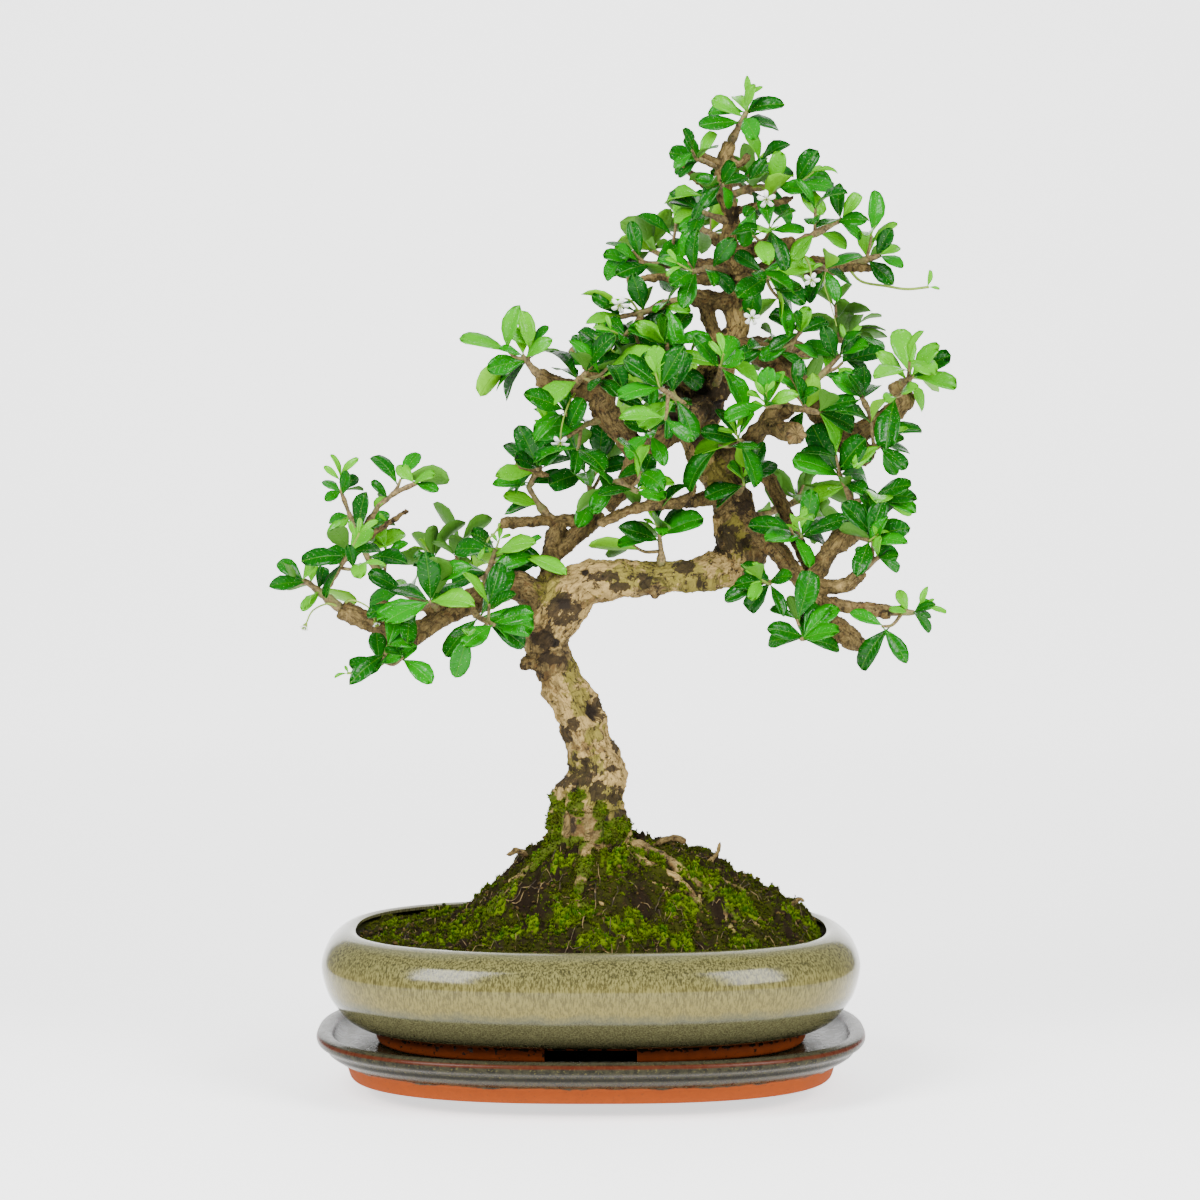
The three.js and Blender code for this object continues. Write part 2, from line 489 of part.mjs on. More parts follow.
function makeSoil(buried) {
  const flat = SOIL_EDGE + MOUND_RISE;
  const top = [0, 32, 48, 66, 90, 129.5].map((r) => [r, flat]);
  const underside = POT_FLOOR + CLEARANCE;
  const sides = [[130.4, SOIL_EDGE], [137.2, 74.4], [142.5, 62], [135.5, 47.3], [114.8, underside]];
  const bottom = [[0, underside]];
  const fill = ovalBody([...top, ...sides, ...bottom], OVAL_STEPS, (point) => {
    if (point.z < flat) return;
    point.z = moundHeight(point.x, point.y);
    point.z += SOIL_CRUMB * (bumps(point, 9) + 1) / 2;
  });
  const pockets = [-1, 1].map((side) => solid(new THREE.BoxGeometry(
    SCREEN_SIDE + 2 * CLEARANCE, SCREEN_SIDE + 2 * CLEARANCE, 4 * SCREEN_THICKNESS,
  ).translate(side * DRAIN_OFFSET, 0, POT_FLOOR)));
  return [...pockets, buried].reduce((body, cut) => body.subtract(cut), fill);
}

// Wood

const curveOf = (points) => new THREE.CatmullRomCurve3(points, false, 'catmullrom', 0.5);

// The radius along a curve whose points carry their own radii
function radiusAlong(curve, radii) {
  return (share) => {
    const place = curve.getUtoTmapping(share) * (radii.length - 1);
    const before = Math.min(Math.floor(place), radii.length - 2);
    return THREE.MathUtils.lerp(radii[before], radii[before + 1], place - before);
  };
}

// A closed round tube along a stretch of a curve. ridges moves its skin out or in by a share of the radius.
function tube(curve, from, to, radiusAt, sides, steps, ridges = () => 0) {
  const rings = [];
  let normal = new THREE.Vector3(0.31, -0.93, 0.2);
  for (let i = 0; i <= steps; i += 1) {
    const share = THREE.MathUtils.lerp(from, to, i / steps);
    const along = curve.getTangentAt(share);
    normal = normal.clone().addScaledVector(along, -normal.dot(along)).normalize();
    const across = new THREE.Vector3().crossVectors(along, normal);
    rings.push({ centre: curve.getPointAt(share), normal, across, radius: radiusAt(share), share });
  }
  const geometry = new THREE.CylinderGeometry(1, 1, 1, sides, steps);
  return solid(reshape(geometry, (point) => {
    const ring = rings[Math.round((0.5 - point.y) * steps)];
    const out = new THREE.Vector3()
      .addScaledVector(ring.normal, point.x).addScaledVector(ring.across, point.z);
    const skin = ring.centre.clone().addScaledVector(out, ring.radius);
    const swell = 1 + ridges(skin, ring, out);
    point.copy(ring.centre).addScaledVector(out, ring.radius * swell);
  }));
}

// Stretches of wood as straight capsules, which leaves keep clear of
const wood = [];

function addWood(node, curve, from, to, radiusAt, margin) {
  const steps = Math.max(2, Math.ceil((curve.getLength() * (to - from)) / 6));
  for (let i = 0; i < steps; i += 1) {
    const [a, b] = [i, i + 1].map((k) => THREE.MathUtils.lerp(from, to, k / steps));
    wood.push({
      node,
      line: new THREE.Line3(curve.getPointAt(a), curve.getPointAt(b)),
      radius: Math.max(radiusAt(a), radiusAt(b)) * (1 + margin),
    });
  }
}

function planLimb(rows, sides, step, ridges) {
  const curve = curveOf(rows.map(([x, y, z]) => seen(x, y, z)));
  const radiusAt = radiusAlong(curve, rows.map((row) => row[3]));
  addWood('trunk', curve, 0, 1, radiusAt, GNARL);
  return { curve, radiusAt, sides, steps: Math.ceil(curve.getLength() / step), ridges };
}

// A limb's tube, with some extra on its radius
const limbTube = ({ curve, radiusAt, sides, steps, ridges }, extra) => tube(
  curve, 0, 1, (share) => radiusAt(share) + extra, sides, steps, ridges,
);

// Flutes of the root flare fade out a little above the soil; bark ridges run over all of it
function trunkRidges(point, ring, out) {
  const flare = THREE.MathUtils.smoothstep(FLARE_TOP - point.z, 0, FLARE_HEIGHT);
  const turn = Math.atan2(out.y, out.x);
  return FLUTE_DEPTH * flare * Math.cos(FLUTES * turn + 0.6) + GNARL * bumps(point, 11);
}

const limbRidges = (point) => GNARL * bumps(point, 7);

// A root's axis runs down the mound and turns into it at its end. drop lowers all of it.
function rootCurve(rows, drop) {
  const points = rows.map(([x, y, r]) => (
    new THREE.Vector3(x, y, moundHeight(x, y) + ROOT_RISE * r - drop)));
  points.push(points.at(-1).clone().add(new THREE.Vector3(0, 0, -2 * rows.at(-1)[2])));
  return curveOf(points);
}

function makeRoots(extra = 0, drop = 0) {
  return ROOTS.map((rows) => {
    const curve = rootCurve(rows, drop);
    const radii = [...rows.map((row) => row[2]), rows.at(-1)[2] * ROOT_END_SHARE];
    const radiusAt = radiusAlong(curve, radii);
    return tube(curve, 0, 1, (share) => radiusAt(share) + extra, ROOT_SIDES, rows.length);
  });
}

// Shoots

// Where along a shoot's twig its axis comes out of the limbs
function wayOut(curve) {
  const length = curve.getLength();
  const nearest = new THREE.Vector3();
  for (let run = 0; run < length; run += 0.5) {
    const point = curve.getPointAt(run / length);
    const out = wood.every(({ line, radius }) => (
      line.closestPointToPoint(point, true, nearest).distanceTo(point) > radius + SEAT_GAP));
    if (out) return run / length;
  }
  throw new Error('a twig never leaves its limb');
}

function planShoot(shoot, order) {
  const curve = curveOf(shoot.path.map((point) => seen(...point)));
  const radiusAt = (share) => THREE.MathUtils.lerp(shoot.radius, TWIG_TIP_RADIUS, share);
  const twigs = [{ curve, radiusAt, out: wayOut(curve), points: shoot.path.length, tufts: shoot.tufts }];
  if (shoot.fork) {
    const fork = curveOf(shoot.fork.map((point) => seen(...point)));
    const forkRadius = (share) => THREE.MathUtils.lerp(FORK_SHARE * shoot.radius, TWIG_TIP_RADIUS, share);
    twigs.push({
      curve: fork, radiusAt: forkRadius, out: 0, points: shoot.fork.length, tufts: shoot.forkTufts,
    });
  }
  return { name: `shoot_${shoot.name}`, order, twigs };
}

const twigSteps = (curve) => Math.max(1, Math.round(curve.getLength() / TWIG_STEP));

const makeTwig = ({ curve, radiusAt }) => tube(curve, 0, 1, radiusAt, TWIG_SIDES, twigSteps(curve));

// A point on the straight lines between the middles of a twig's rings
function twigPoint(curve, share) {
  const steps = twigSteps(curve);
  const before = Math.min(Math.floor(share * steps), steps - 1);
  const after = curve.getPointAt((before + 1) / steps);
  return curve.getPointAt(before / steps).lerp(after, share * steps - before);
}

// A shoot's twigs, cut to sit on the limbs' skin
function makeTwigs(shoot, seat) {
  const pieces = join(shoot.twigs.map(makeTwig)).subtract(seat).decompose();
  return pieces.reduce((largest, piece) => (piece.volume() > largest.volume() ? piece : largest));
}

// The share of a curve's length at one of its points
function shareOf(curve, index, points) {
  const target = index / (points - 1);
  let [low, high] = [0, 1];
  for (let i = 0; i < 30; i += 1) {
    const middle = (low + high) / 2;
    if (curve.getUtoTmapping(middle) < target) low = middle;
    else high = middle;
  }
  return high;
}

// The leaves that a shoot's tufts ask for, each rooted a little further along the twig than the one before
function leavesOf(shoot) {
  const leaves = [];
  const tuftCount = shoot.twigs.reduce((sum, twig) => sum + twig.tufts.length, 0);
  const outerLeaves = tuftCount > 1 ? TUFT_LEAVES : LONE_TUFT_LEAVES;
  shoot.twigs.forEach((twig) => {
    const run = twig.curve.getLength();
    twig.tufts.forEach(([index, length, ...clocks]) => {
      const middle = shareOf(twig.curve, index, twig.points);
      const most = index > 1 ? outerLeaves : INNER_TUFT_LEAVES;
      clocks.slice(0, most).forEach((clock, i) => {
        const slide = (ROOT_SPACING * (i - clocks.length / 2)) / run;
        const share = Math.min(Math.max(middle + slide, twig.out + FIRST_LEAF / run), 1 - TIP_MARGIN / run);
        leaves.push({
          key: shoot.order * 40 + leaves.length,
          clock,
          lean: LEANS[i],
          length,
          root: twigPoint(twig.curve, share),
        });
      });
    });
  });
  return leaves;
}

// One try at a leaf's place: its root, its three directions, its length and its half width
function placeLeaf(leaf, attempt) {
  const loosen = 0.4 + 0.12 * attempt;
  const clock = THREE.MathUtils.degToRad(leaf.clock + 14 * loosen * swing(leaf.key, attempt, 1));
  const lean = THREE.MathUtils.degToRad(leaf.lean + 26 * loosen * swing(leaf.key, attempt, 2));
  const along = new THREE.Vector3(
    Math.cos(clock) * Math.cos(lean), Math.sin(lean), Math.sin(clock) * Math.cos(lean),
  );
  const facing = leaf.root.y > BACK_DEPTH ? FACING : -FACING;
  const up = new THREE.Vector3(
    0.45 * swing(leaf.key, attempt, 3), facing + 0.35 * swing(leaf.key, attempt, 4), SKYWARD,
  );
  up.addScaledVector(along, -up.dot(along)).normalize();
  const across = new THREE.Vector3().crossVectors(along, up);
  const size = attempt > FULL_SIZE_ATTEMPTS ? SMALL_SIZE : 1;
  const length = leaf.length * (0.98 + 0.1 * swing(leaf.key, 0, 6)) * size;
  return { key: leaf.key, root: leaf.root, along, up, across, length, half: (length * BLADE_WIDTH) / 2 };
}

function bladePoint(place, [share, side, lift], rise = 0) {
  const wave = share > 0.3 && share < 0.95 ? 0.02 * swing(place.key, share * 10, side * 3) : 0;
  return place.root.clone()
    .addScaledVector(place.along, share * place.length)
    .addScaledVector(place.across, side * place.half)
    .addScaledVector(place.up, (lift + wave) * place.length + rise);
}

// A blade is its outline given a thickness and then bent, so that both faces are split alike
function makeBlade(place) {
  const outline = new THREE.Shape(BLADE_RIM.map(([share, side]) => new THREE.Vector2(share, side)));
  const geometry = new THREE.ExtrudeGeometry(outline, { depth: 1, bevelEnabled: false });
  return solid(reshape(geometry, (point) => {
    const row = BLADE_RIM.find(([share, side]) => Math.hypot(share - point.x, side - point.y) < 1e-3);
    point.copy(bladePoint(place, row, (point.z - 0.5) * BLADE_THICKNESS));
  }));
}

// A blade's middle surface as triangles, and points spread over it
function bladeSkin(place) {
  const [root, right, farRight, farLeft, left] = BLADE_RIM.map((row) => bladePoint(place, row));
  const triangles = [[root, right, left], [right, farRight, left], [farRight, farLeft, left]]
    .map((corners) => new THREE.Triangle(...corners));
  const points = [root, right, farRight, farLeft, left];
  triangles.forEach(({ a, b, c }) => {
    const middle = a.clone().add(b).add(c).divideScalar(3);
    points.push(middle, a.clone().lerp(b, 0.5), b.clone().lerp(c, 0.5), c.clone().lerp(a, 0.5));
    points.push(middle.clone().lerp(a, 0.5), middle.clone().lerp(b, 0.5), middle.clone().lerp(c, 0.5));
  });
  const sphere = new THREE.Sphere().setFromPoints(points);
  return { triangles, points, sphere, root: place.root, length: place.length };
}

function skinsClear(one, other, gap, skipRoots) {
  const reach = one.sphere.radius + other.sphere.radius + gap;
  if (one.sphere.center.distanceTo(other.sphere.center) > reach) return true;
  const nearest = new THREE.Vector3();
  return one.points.every((point) => {
    if (skipRoots && point.distanceTo(one.root) < STALK_SHARE * one.length) return true;
    return other.triangles.every((triangle) => {
      triangle.closestPointToPoint(point, nearest);
      return nearest.distanceTo(point) > gap;
    });
  });
}

function clearOfWood(skin, name, strict) {
  const nearest = new THREE.Vector3();
  return wood.every(({ node, line, radius }) => {
    if (node === name && !strict) return true;
    return skin.points.every((point) => {
      if (node === name && point.distanceTo(skin.root) < TWIG_SHARE * skin.length) return true;
      return line.closestPointToPoint(point, true, nearest).distanceTo(point) - radius > WOOD_GAP;
    });
  });
}

// The first try that is clear of everything. Late tries may cross wood and leaves of the same shoot.
function settleLeaf(leaf, name, placed) {
  for (let attempt = 0; attempt < ATTEMPTS; attempt += 1) {
    const strict = attempt < STRICT_ATTEMPTS;
    const place = placeLeaf(leaf, attempt);
    const skin = bladeSkin(place);
    const clear = clearOfWood(skin, name, strict) && placed.every(({ owner, skin: other }) => {
      if (owner !== name) return skinsClear(skin, other, LEAF_GAP, false);
      return !strict || skinsClear(skin, other, OWN_LEAF_GAP, true);
    });
    if (clear) {
      placed.push({ owner: name, skin });
      return place;
    }
  }
  return null;
}

// Assembly

const limbs = [
  planLimb(TRUNK, TRUNK_SIDES, TRUNK_STEP, trunkRidges),
  ...LIMBS.map((rows) => planLimb(rows, LIMB_SIDES, LIMB_STEP, limbRidges)),
];
const shoots = SHOOTS.map(planShoot);
shoots.forEach(({ name, twigs }) => {
  twigs.forEach(({ curve, out, radiusAt }) => addWood(name, curve, out, 1, radiusAt, 0));
});

const placed = [];
const bonsai = new THREE.Group();
bonsai.add(meshOf('saucer', makeSaucer(), COLOURS.saucer, 0.25));
bonsai.add(meshOf('pot', makePot(), COLOURS.glaze, 0.2));
bonsai.add(meshOf('drain_screen_left', makeScreen(-1), COLOURS.plastic, 0.6));
bonsai.add(meshOf('drain_screen_right', makeScreen(1), COLOURS.plastic, 0.6));

// The hole for the trunk starts a little below the trunk's end
const [foot, ...base] = TRUNK.slice(0, 6);
const holeRows = [[foot[0], foot[1], foot[2] - 2 * CLEARANCE, foot[3]], ...base];
const holeCurve = curveOf(holeRows.map(([x, y, z]) => seen(x, y, z)));
const holeRadius = radiusAlong(holeCurve, holeRows.map((row) => SOCKET_SWELL * (row[3] + CLEARANCE)));
const socket = tube(holeCurve, 0, 1, holeRadius, SOCKET_SIDES, base.length);
const buried = join([socket, ...makeRoots(2 * CLEARANCE, CLEARANCE)]);
bonsai.add(meshOf('soil', makeSoil(buried), COLOURS.soil, 1));

const timber = join([...limbs.map((limb) => limbTube(limb, 0)), ...makeRoots()]);
bonsai.add(meshOf('trunk', timber, COLOURS.bark, 0.9));

const seat = join(limbs.map((limb) => limbTube(limb, SEAT_GAP)));
shoots.forEach((shoot) => {
  const blades = leavesOf(shoot).map((leaf) => settleLeaf(leaf, shoot.name, placed)).filter(Boolean);
  const body = join([makeTwigs(shoot, seat), ...blades.map(makeBlade)]);
  bonsai.add(meshOf(shoot.name, body, COLOURS.leaf, 0.4));
});

// The origin is the centre of the whole on the surface that it stands on
const reach = new THREE.Box3().setFromObject(bonsai);
bonsai.position.set(-(reach.min.x + reach.max.x) / 2, -(reach.min.y + reach.max.y) / 2, 0);

export default bonsai;
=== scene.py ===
"""A fukien tea bonsai with its pot, saucer, soil, moss, bark, leaves and flowers.

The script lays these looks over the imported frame, and is laid out as an add-on.
"""
import math
import random
from bisect import bisect_right

import bmesh
import bpy
from bpy.props import FloatProperty, FloatVectorProperty, IntProperty, PointerProperty
from bpy.types import Operator, Panel, PropertyGroup
import numpy as np
from mathutils import Matrix, Vector, kdtree, noise


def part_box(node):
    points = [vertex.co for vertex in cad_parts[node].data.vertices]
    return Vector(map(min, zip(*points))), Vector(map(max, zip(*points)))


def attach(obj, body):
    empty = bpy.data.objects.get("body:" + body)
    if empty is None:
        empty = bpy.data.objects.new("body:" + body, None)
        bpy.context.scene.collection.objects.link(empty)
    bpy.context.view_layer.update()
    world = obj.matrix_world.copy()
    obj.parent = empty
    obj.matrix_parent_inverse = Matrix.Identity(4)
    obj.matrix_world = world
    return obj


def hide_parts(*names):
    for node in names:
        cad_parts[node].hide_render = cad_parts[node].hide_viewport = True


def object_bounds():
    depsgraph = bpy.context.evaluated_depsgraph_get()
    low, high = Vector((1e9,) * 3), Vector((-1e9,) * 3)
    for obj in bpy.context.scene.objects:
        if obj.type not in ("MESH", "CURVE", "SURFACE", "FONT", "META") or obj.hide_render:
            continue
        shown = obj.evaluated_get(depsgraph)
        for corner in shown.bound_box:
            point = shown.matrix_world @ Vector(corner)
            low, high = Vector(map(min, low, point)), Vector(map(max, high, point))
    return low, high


bl_info = {
    "name": "Fukien Tea Bonsai",
    "version": (1, 0, 0),
    "blender": (4, 5, 0),
    "location": "View3D > Sidebar > Bonsai",
    "description": "Builds a fukien tea bonsai in an oval glazed pot on its saucer",
    "category": "Add Mesh",
}

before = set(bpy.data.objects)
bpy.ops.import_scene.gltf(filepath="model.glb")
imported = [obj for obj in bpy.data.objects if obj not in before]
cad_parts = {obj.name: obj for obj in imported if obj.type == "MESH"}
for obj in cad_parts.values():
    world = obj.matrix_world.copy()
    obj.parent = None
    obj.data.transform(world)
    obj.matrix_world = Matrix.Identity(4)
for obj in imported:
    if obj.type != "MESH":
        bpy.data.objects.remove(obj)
FRAME_BOX = [list(corner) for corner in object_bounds()]
POT_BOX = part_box("pot")

# Sizes are millimetres in the pot's own frame: x to the right, y away from the viewer of the front
# view, z up, from the middle of the pot on the table. MM and CENTRE_X turn them into the frame's metres.
MM = 0.001
CENTRE_X = (POT_BOX[0].x + POT_BOX[1].x) / 2

# The front view is seen from EYE and looks at AIM
EYE = Vector((5, -1900, 388))
AIM = Vector((5, 0, 264))
VIEW_ANGLE = 19.9

# The oval that the pot, the saucer and the soil share
SIDE_DIFFERENCE = 40
CENTRE_REACH = 100
SQUARENESS = 2.6

# Soil
SOIL_EDGE = 76.5
MOUND_RISE = 54
MOUND_LEFT = 62
MOUND_RIGHT = 105
MOUND_DEPTH = 66

# Wood and leaves
TWIG_STEP = 13
TWIG_TIP_RADIUS = 1.3
FORK_SHARE = 0.75
SEAT_GAP = 0.3
FIRST_LEAF = 5
GNARL = 0.09
BLADE_THICKNESS = 0.7
BLADE_WIDTH = 0.47
ATTEMPTS = 22
INNER_TUFT_LEAVES = 2
TUFT_LEAVES = 3
LONE_TUFT_LEAVES = 4
ROOT_SPACING = 1.6
ROOT_RISE = 0.25
ROOT_DROP = 1.5
ROOT_SHARE = 0.78
LEANS = (-22, 30, -48, 44, -8)


def tint(red, green, blue):
    """A colour given as 0 to 255 on screen, in the linear numbers that Blender mixes."""
    shares = [level / 255 for level in (red, green, blue)]
    return tuple(share / 12.92 if share <= 0.04045 else ((share + 0.055) / 1.055) ** 2.4 for share in shares)


# Trunk axis: across, depth, height, radius
TRUNK = [
    (-1, 0, 84, 22), (-1, 0, 104, 25), (0, 0, 122, 24.5), (-2, 0, 139, 22), (0, 0, 155, 18.5),
    (4, 0, 169, 15), (-1, 0, 183, 12.5), (-5, 0, 197, 12.5), (-12, 0, 211, 11.7), (-18, -1, 222, 11.4),
    (-23, -2, 233, 11.5), (-25, -3, 244, 13.5), (-20, -4, 256, 14), (-10, -4, 269, 14), (5, -4, 275, 12),
    (27, -3, 276, 9.5), (49, -2, 277, 8.8), (74, 0, 281, 10), (85, 0, 288, 12), (81, 2, 300, 12),
    (80, 4, 314, 11.5), (74, 5, 328, 10), (67, 6, 339, 10.5), (60, 6, 353, 9.8), (62, 6, 375, 12.5),
    (72, 5, 396, 8), (81, 4, 414, 6.2), (79, 3, 428, 5.7), (80, 2, 444, 5), (76, 2, 461, 4.5),
    (78, 2, 475, 4.3), (74, 2, 490, 4.6), (73, 2, 505, 4.3), (77, 2, 517, 3.8),
]

# Limbs that are one piece with the trunk, written like the trunk
LIMBS = [
    # low left
    [(-24, 0, 262, 10), (-42, -6, 272, 7.5), (-56, -10, 267, 7), (-78, -14, 258, 6), (-95, -16, 247, 5.4),
     (-106, -17, 243, 5.6), (-117, -19, 249, 5), (-128, -20, 254, 4.8), (-139, -20, 259, 5.2)],
    [(-84, -14, 259, 2.8), (-101, -22, 261, 2.5), (-119, -28, 260, 2.3)],
    [(-106, -17, 243, 5), (-112, -20, 235, 5.2), (-115, -20, 231, 5.6)],
    [(-14, -2, 232, 6), (-28, -6, 229, 4.2), (-39, -8, 229, 3.2)],
    # shoulder
    [(-24, 0, 262, 7), (-23, 6, 283, 5.2), (-22, 10, 294, 4.6), (-18, 12, 306, 4.2)],
    [(-22, 9, 288, 4.6), (-12, 14, 297, 4.6), (0, 18, 308, 5), (4, 20, 313, 5.6)],
    [(0, 18, 309, 3.2), (-25, 9, 308, 2.9), (-50, 2, 307, 2.8)],
    # middle left
    [(62, 5, 364, 8), (49, -4, 361, 7), (36, -10, 351, 6.4), (27, -12, 347, 6.4), (13, -16, 361, 5.8),
     (6, -18, 370, 6.2), (6, -18, 380, 8), (-8, -18, 381, 5), (-20, -20, 384, 4.6), (-29, -22, 388, 5.6)],
    [(27, -12, 347, 5.4), (19, -16, 328, 4.8), (8, -18, 316, 4.4)],
    [(6, -18, 382, 4.4), (-2, -22, 396, 3.4), (-11, -24, 404, 2.8)],
    [(74, 3, 322, 4.8), (47, -20, 318, 3.1), (24, -28, 315, 2.8), (4, -34, 306, 2.5)],
    [(62, 4, 376, 6), (45, 0, 385, 4.6), (34, -3, 391, 3.8)],
    # upper left and the slanting limb below it
    [(80, 3, 429, 5), (68, -1, 430, 4.6), (55, -3, 432, 4.6)],
    [(62, -2, 430, 4.2), (67, 0, 415, 3.6), (73, 3, 400, 4.2)],
    [(80, 2, 447, 5), (70, 6, 449, 4.6), (58, 10, 449, 4.2)],
    # upper right
    [(79, 2, 456, 4.6), (100, -8, 460, 4), (112, -13, 461, 3.5)],
    [(80, 2, 442, 5.4), (110, 10, 449, 5), (130, 15, 449, 4.4), (144, 17, 450, 4)],
    # right
    [(76, 4, 404, 7), (99, -4, 399, 6.5), (116, -10, 383, 6), (133, -14, 361, 6.5), (141, -16, 353, 7),
     (155, -18, 342, 5)],
    [(141, -16, 353, 6), (161, -20, 364, 5), (173, -22, 374, 5.6), (170, -22, 385, 6)],
    # centre, towards the viewer, with a stub sawn flat
    [(74, 0, 342, 5.5), (86, -13, 350, 5), (99, -24, 364, 5), (109, -30, 372, 5.4)],
    [(98, -23, 362, 4.6), (108, -38, 358, 4.8), (114, -50, 356, 5.4)],
    # low right
    [(80, 0, 312, 7), (98, -12, 298, 5.5), (111, -20, 282, 5), (123, -26, 266, 5), (131, -28, 255, 4.6),
     (126, -28, 244, 6.2)],
    [(129, -28, 257, 4.4), (144, -26, 243, 5.6), (151, -24, 239, 4)],
    [(125, -27, 263, 4), (140, -30, 261, 3.2), (155, -32, 259, 3.1), (167, -33, 257, 3.8)],
    [(74, 4, 330, 6), (91, 9, 337, 4.2), (104, 10, 322, 3.7), (113, 4, 300, 3.6), (121, -8, 284, 4),
     (122, -22, 270, 4)],
    [(121, -24, 272, 4.6), (133, -20, 291, 4.6), (144, -16, 303, 8)],
    [(144, -16, 303, 5), (151, -14, 309, 4), (156, -12, 316, 3)],
    [(122, -25, 272, 3.8), (141, -31, 272, 3.7), (151, -34, 280, 3.5)],
    # limbs that reach away from the viewer
    [(72, 4, 284, 7), (80, 30, 298, 5), (92, 52, 310, 4.2)],
    [(64, 8, 352, 7), (58, 34, 362, 5.2), (48, 58, 372, 4.2)],
    [(76, 6, 404, 5.4), (102, 34, 405, 4.6), (124, 54, 402, 3.8)],
    [(79, 4, 452, 4.6), (76, 28, 458, 4), (70, 46, 464, 3.4)],
    [(-16, 4, 262, 7), (-34, 34, 268, 4.8), (-58, 54, 276, 4)],
    # a limb that reaches towards the viewer
    [(63, -2, 372, 6), (58, -30, 366, 4.8), (52, -50, 371, 3.9)],
]

# Surface roots: across, depth, radius. Each runs down the mound, half sunk in it.
ROOTS = [
    [(12, -14, 6), (26, -31, 3.6), (38, -35, 3.2), (48, -37, 2.8), (62, -52, 2)],
    [(16, -8, 6), (42, -26, 4), (62, -38, 2.8), (80, -50, 2.2), (88, -66, 1.8)],
    [(-14, -12, 6), (-33, -26, 3.8), (-47, -30, 2.8), (-59, -35, 1.8)],
    [(-2, -14, 7), (-3, -36, 4.6), (-8, -56, 2.4)],
    [(-6, 14, 7), (-14, 36, 4.2), (-30, 50, 2.2)],
]

